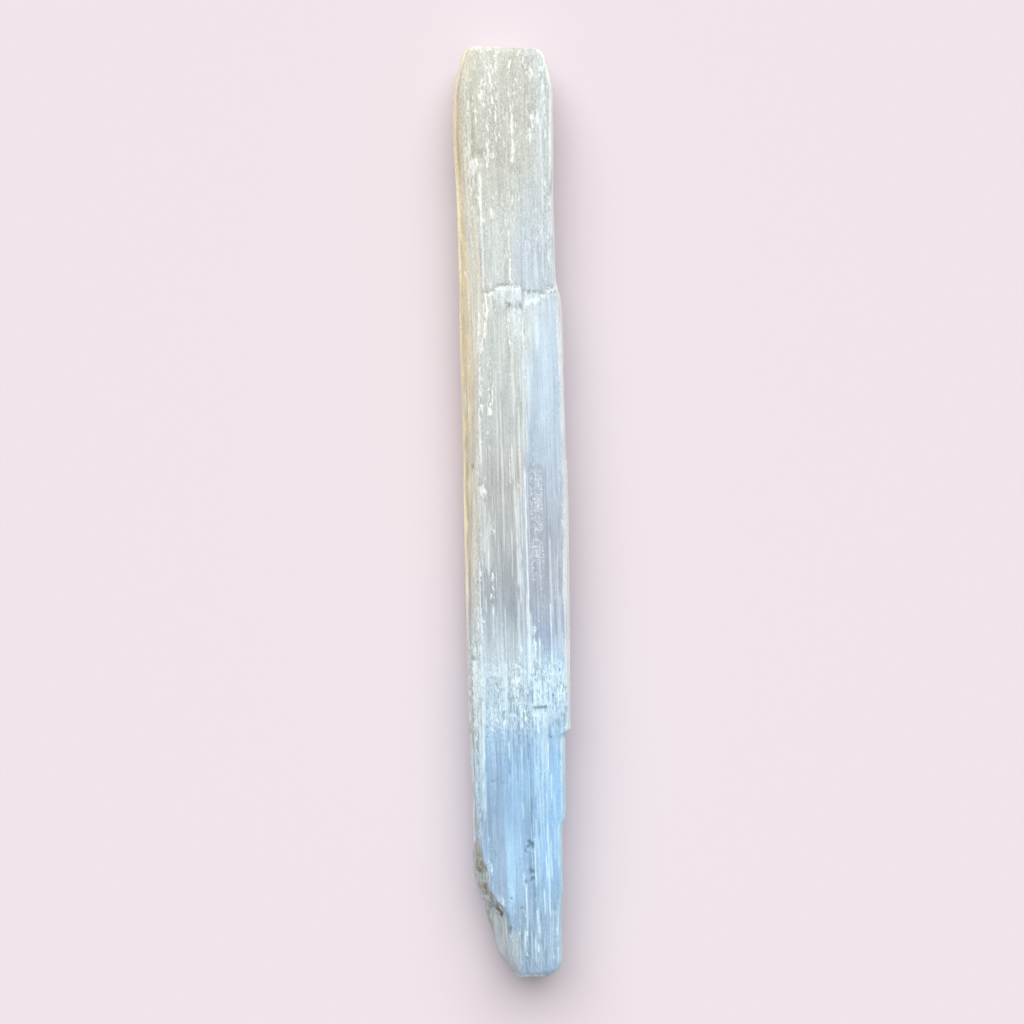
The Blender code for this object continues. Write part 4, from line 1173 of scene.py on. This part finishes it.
def cracked_open(s, t, colour):
    """Cracks and pits, with white crumbs in the upper ones, the painted shade of the hollows at
    the upper break, and the darkest spots of dirt.
    """
    cracked = s.mask("scar") * s.span(t.speck, 0.35, 0.6, 0.6, 0.95)
    cracked = cracked * s.span(t.speckle, 0.40, 0.58, 0.60, 1.0)
    # Cracks and pits darkened, and painted shade where the hollows at the upper break lie.
    colour = s.mix(cracked, colour, s.towards(SCAR_SHADE_GREY, -20, -45, SCAR_SHADE_BLUE))
    crumbs = s.span(s.mask("scar"), 0.12, 0.35) * s.span(s.noise(0.40, 0.42), 0.58, 0.63)
    crumbs = crumbs * s.span(s.along, 30 * MM, 40 * MM)
    colour = s.mix(crumbs, colour, ICE_WHITE)
    return s.mix(s.mask("spots") * 0.85, colour, GRIME_DARK)


def satin_spar():
    """Milky fibrous gypsum: pale, silky, streaked along the fibres, and stained on one side."""
    material = bpy.data.materials.new("satin_spar")
    s = Shader(material)
    clear = s.span(s.mask("weathered"), 0.0, 1.0, 1.0, 0.35)
    speck = s.noise(0.25, 1.5, detail=3.0, roughness=0.7)
    # Textures, from the finest hairs along the fibres to broad clouds, grains and pits.
    t = SimpleNamespace(
        hair=s.noise(0.28, 7.0, detail=3.0, roughness=0.6),
        thread=s.noise(0.36, 16.0, roughness=0.55),
        strand=s.noise(1.1, 40.0),
        cloud=s.noise(3.0, 9.0, detail=3.0),
        grain=s.noise(0.42, 0.70, detail=3.0, roughness=0.7),
        fleck=s.noise(0.58, 1.8, detail=4.0, roughness=0.68, distortion=0.5),
        speckle=s.noise(0.26, 0.34, detail=1.0),
        mottle=s.noise(0.60, 1.6, detail=3.0, roughness=0.65, distortion=1.0),
        speck=speck,
        pocked=s.span(speck, 0.57, 0.635) * s.mask("pitted"),
        clear=clear * s.span(s.mask("lively"), 0.30, 0.45, 0.5, 1.0),
    )
    flecks, frosted = frost_signals(s, t)
    colour = grooved(s, t, streaked(s, t, stained_side(s, t, spar_body(s))))
    colour = cracked_open(s, t, frosted_over(s, t, colour, frosted))
    height = s.span(t.hair, 0.2, 0.8) + flecks * 0.6 + t.grain * 0.6 - t.pocked * 1.0
    bump = {"Strength": 0.6, "Distance": 0.10 * MM, "Height": height}
    s.connect(s.surface, {
        "Base Color": colour,
        "Roughness": s.span(t.hair, 0.3, 0.7, 0.36, 0.48) + frosted * 0.22,
        "Normal": s.add("ShaderNodeBump", "Normal", bump),
        "IOR": 1.52,
        "Subsurface Weight": 0.12,
        "Subsurface Scale": 1.0 * MM,
        "Subsurface Radius": (0.9, 1.0, 1.1),
    })
    return material


def selenite_bar():
    bar = bpy.data.objects.new("selenite_bar", selenite_mesh())
    bar.data.materials.append(satin_spar())
    bpy.context.scene.collection.objects.link(bar)
    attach(bar, "root")
    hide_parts("selenite_stick")


# ---------------------------------------------------------------------------
# Floor, light and camera.

FLOOR_SIZE = 6.0
FLOOR_COLOUR = srgb(229, 218.5, 224)

WORLD_LIGHT = 0.32
LAMP_STRENGTH = 3.36
LAMP_ANGLE = math.radians(74)
LAMP_LEAN = math.radians(42)

VIEW_SPAN = 219.9 * MM  # the frame's width at the height of the outline
VIEW_HEIGHT = 13.4 * MM
VIEW_CENTRE = (-0.78 * MM, -0.19 * MM)
VIEW_ROLL = math.radians(-1.68)
LENS = 85.0
SENSOR = 36.0


def plain_floor():
    mesh = bpy.data.meshes.new("floor")
    r = FLOOR_SIZE / 2
    mesh.from_pydata([(-r, -r, 0), (r, -r, 0), (r, r, 0), (-r, r, 0)], [], [(0, 1, 2, 3)])
    floor = bpy.data.objects.new("floor", mesh)
    material = bpy.data.materials.new("pale_paper")
    s = Shader(material)
    matt = {"Base Color": FLOOR_COLOUR, "Roughness": 0.95, "Specular IOR Level": 0.0}
    s.connect(s.surface, matt)
    mesh.materials.append(material)
    bpy.context.scene.collection.objects.link(floor)


def soft_light():
    """Even light from all round, and a broad soft light from beyond the stick's upper end."""
    scene = bpy.context.scene
    world = bpy.data.worlds.new("studio")
    scene.world = world
    world.use_nodes = True
    background = world.node_tree.nodes["Background"]
    background.inputs["Color"].default_value = (1.0, 1.0, 1.0, 1.0)
    background.inputs["Strength"].default_value = WORLD_LIGHT
    lamp = bpy.data.lights.new("soft_light", "SUN")
    lamp.angle = LAMP_ANGLE
    lamp.energy = LAMP_STRENGTH
    light = bpy.data.objects.new("soft_light", lamp)
    light.rotation_euler = (-LAMP_LEAN, 0.0, 0.0)
    scene.collection.objects.link(light)


def camera_above():
    """Looks straight down, turned so that the stick leans as it does in the photograph."""
    lens = bpy.data.cameras.new("camera")
    lens.lens = LENS
    lens.sensor_width = SENSOR
    lens.clip_start = 0.01
    camera = bpy.data.objects.new("camera", lens)
    distance = VIEW_SPAN * LENS / SENSOR
    camera.location = (*VIEW_CENTRE, VIEW_HEIGHT + distance)
    camera.rotation_euler = (0.0, 0.0, VIEW_ROLL)
    bpy.context.scene.collection.objects.link(camera)
    bpy.context.scene.camera = camera


selenite_bar()
plain_floor()
soft_light()
camera_above()
bpy.context.scene.view_settings.view_transform = "Standard"
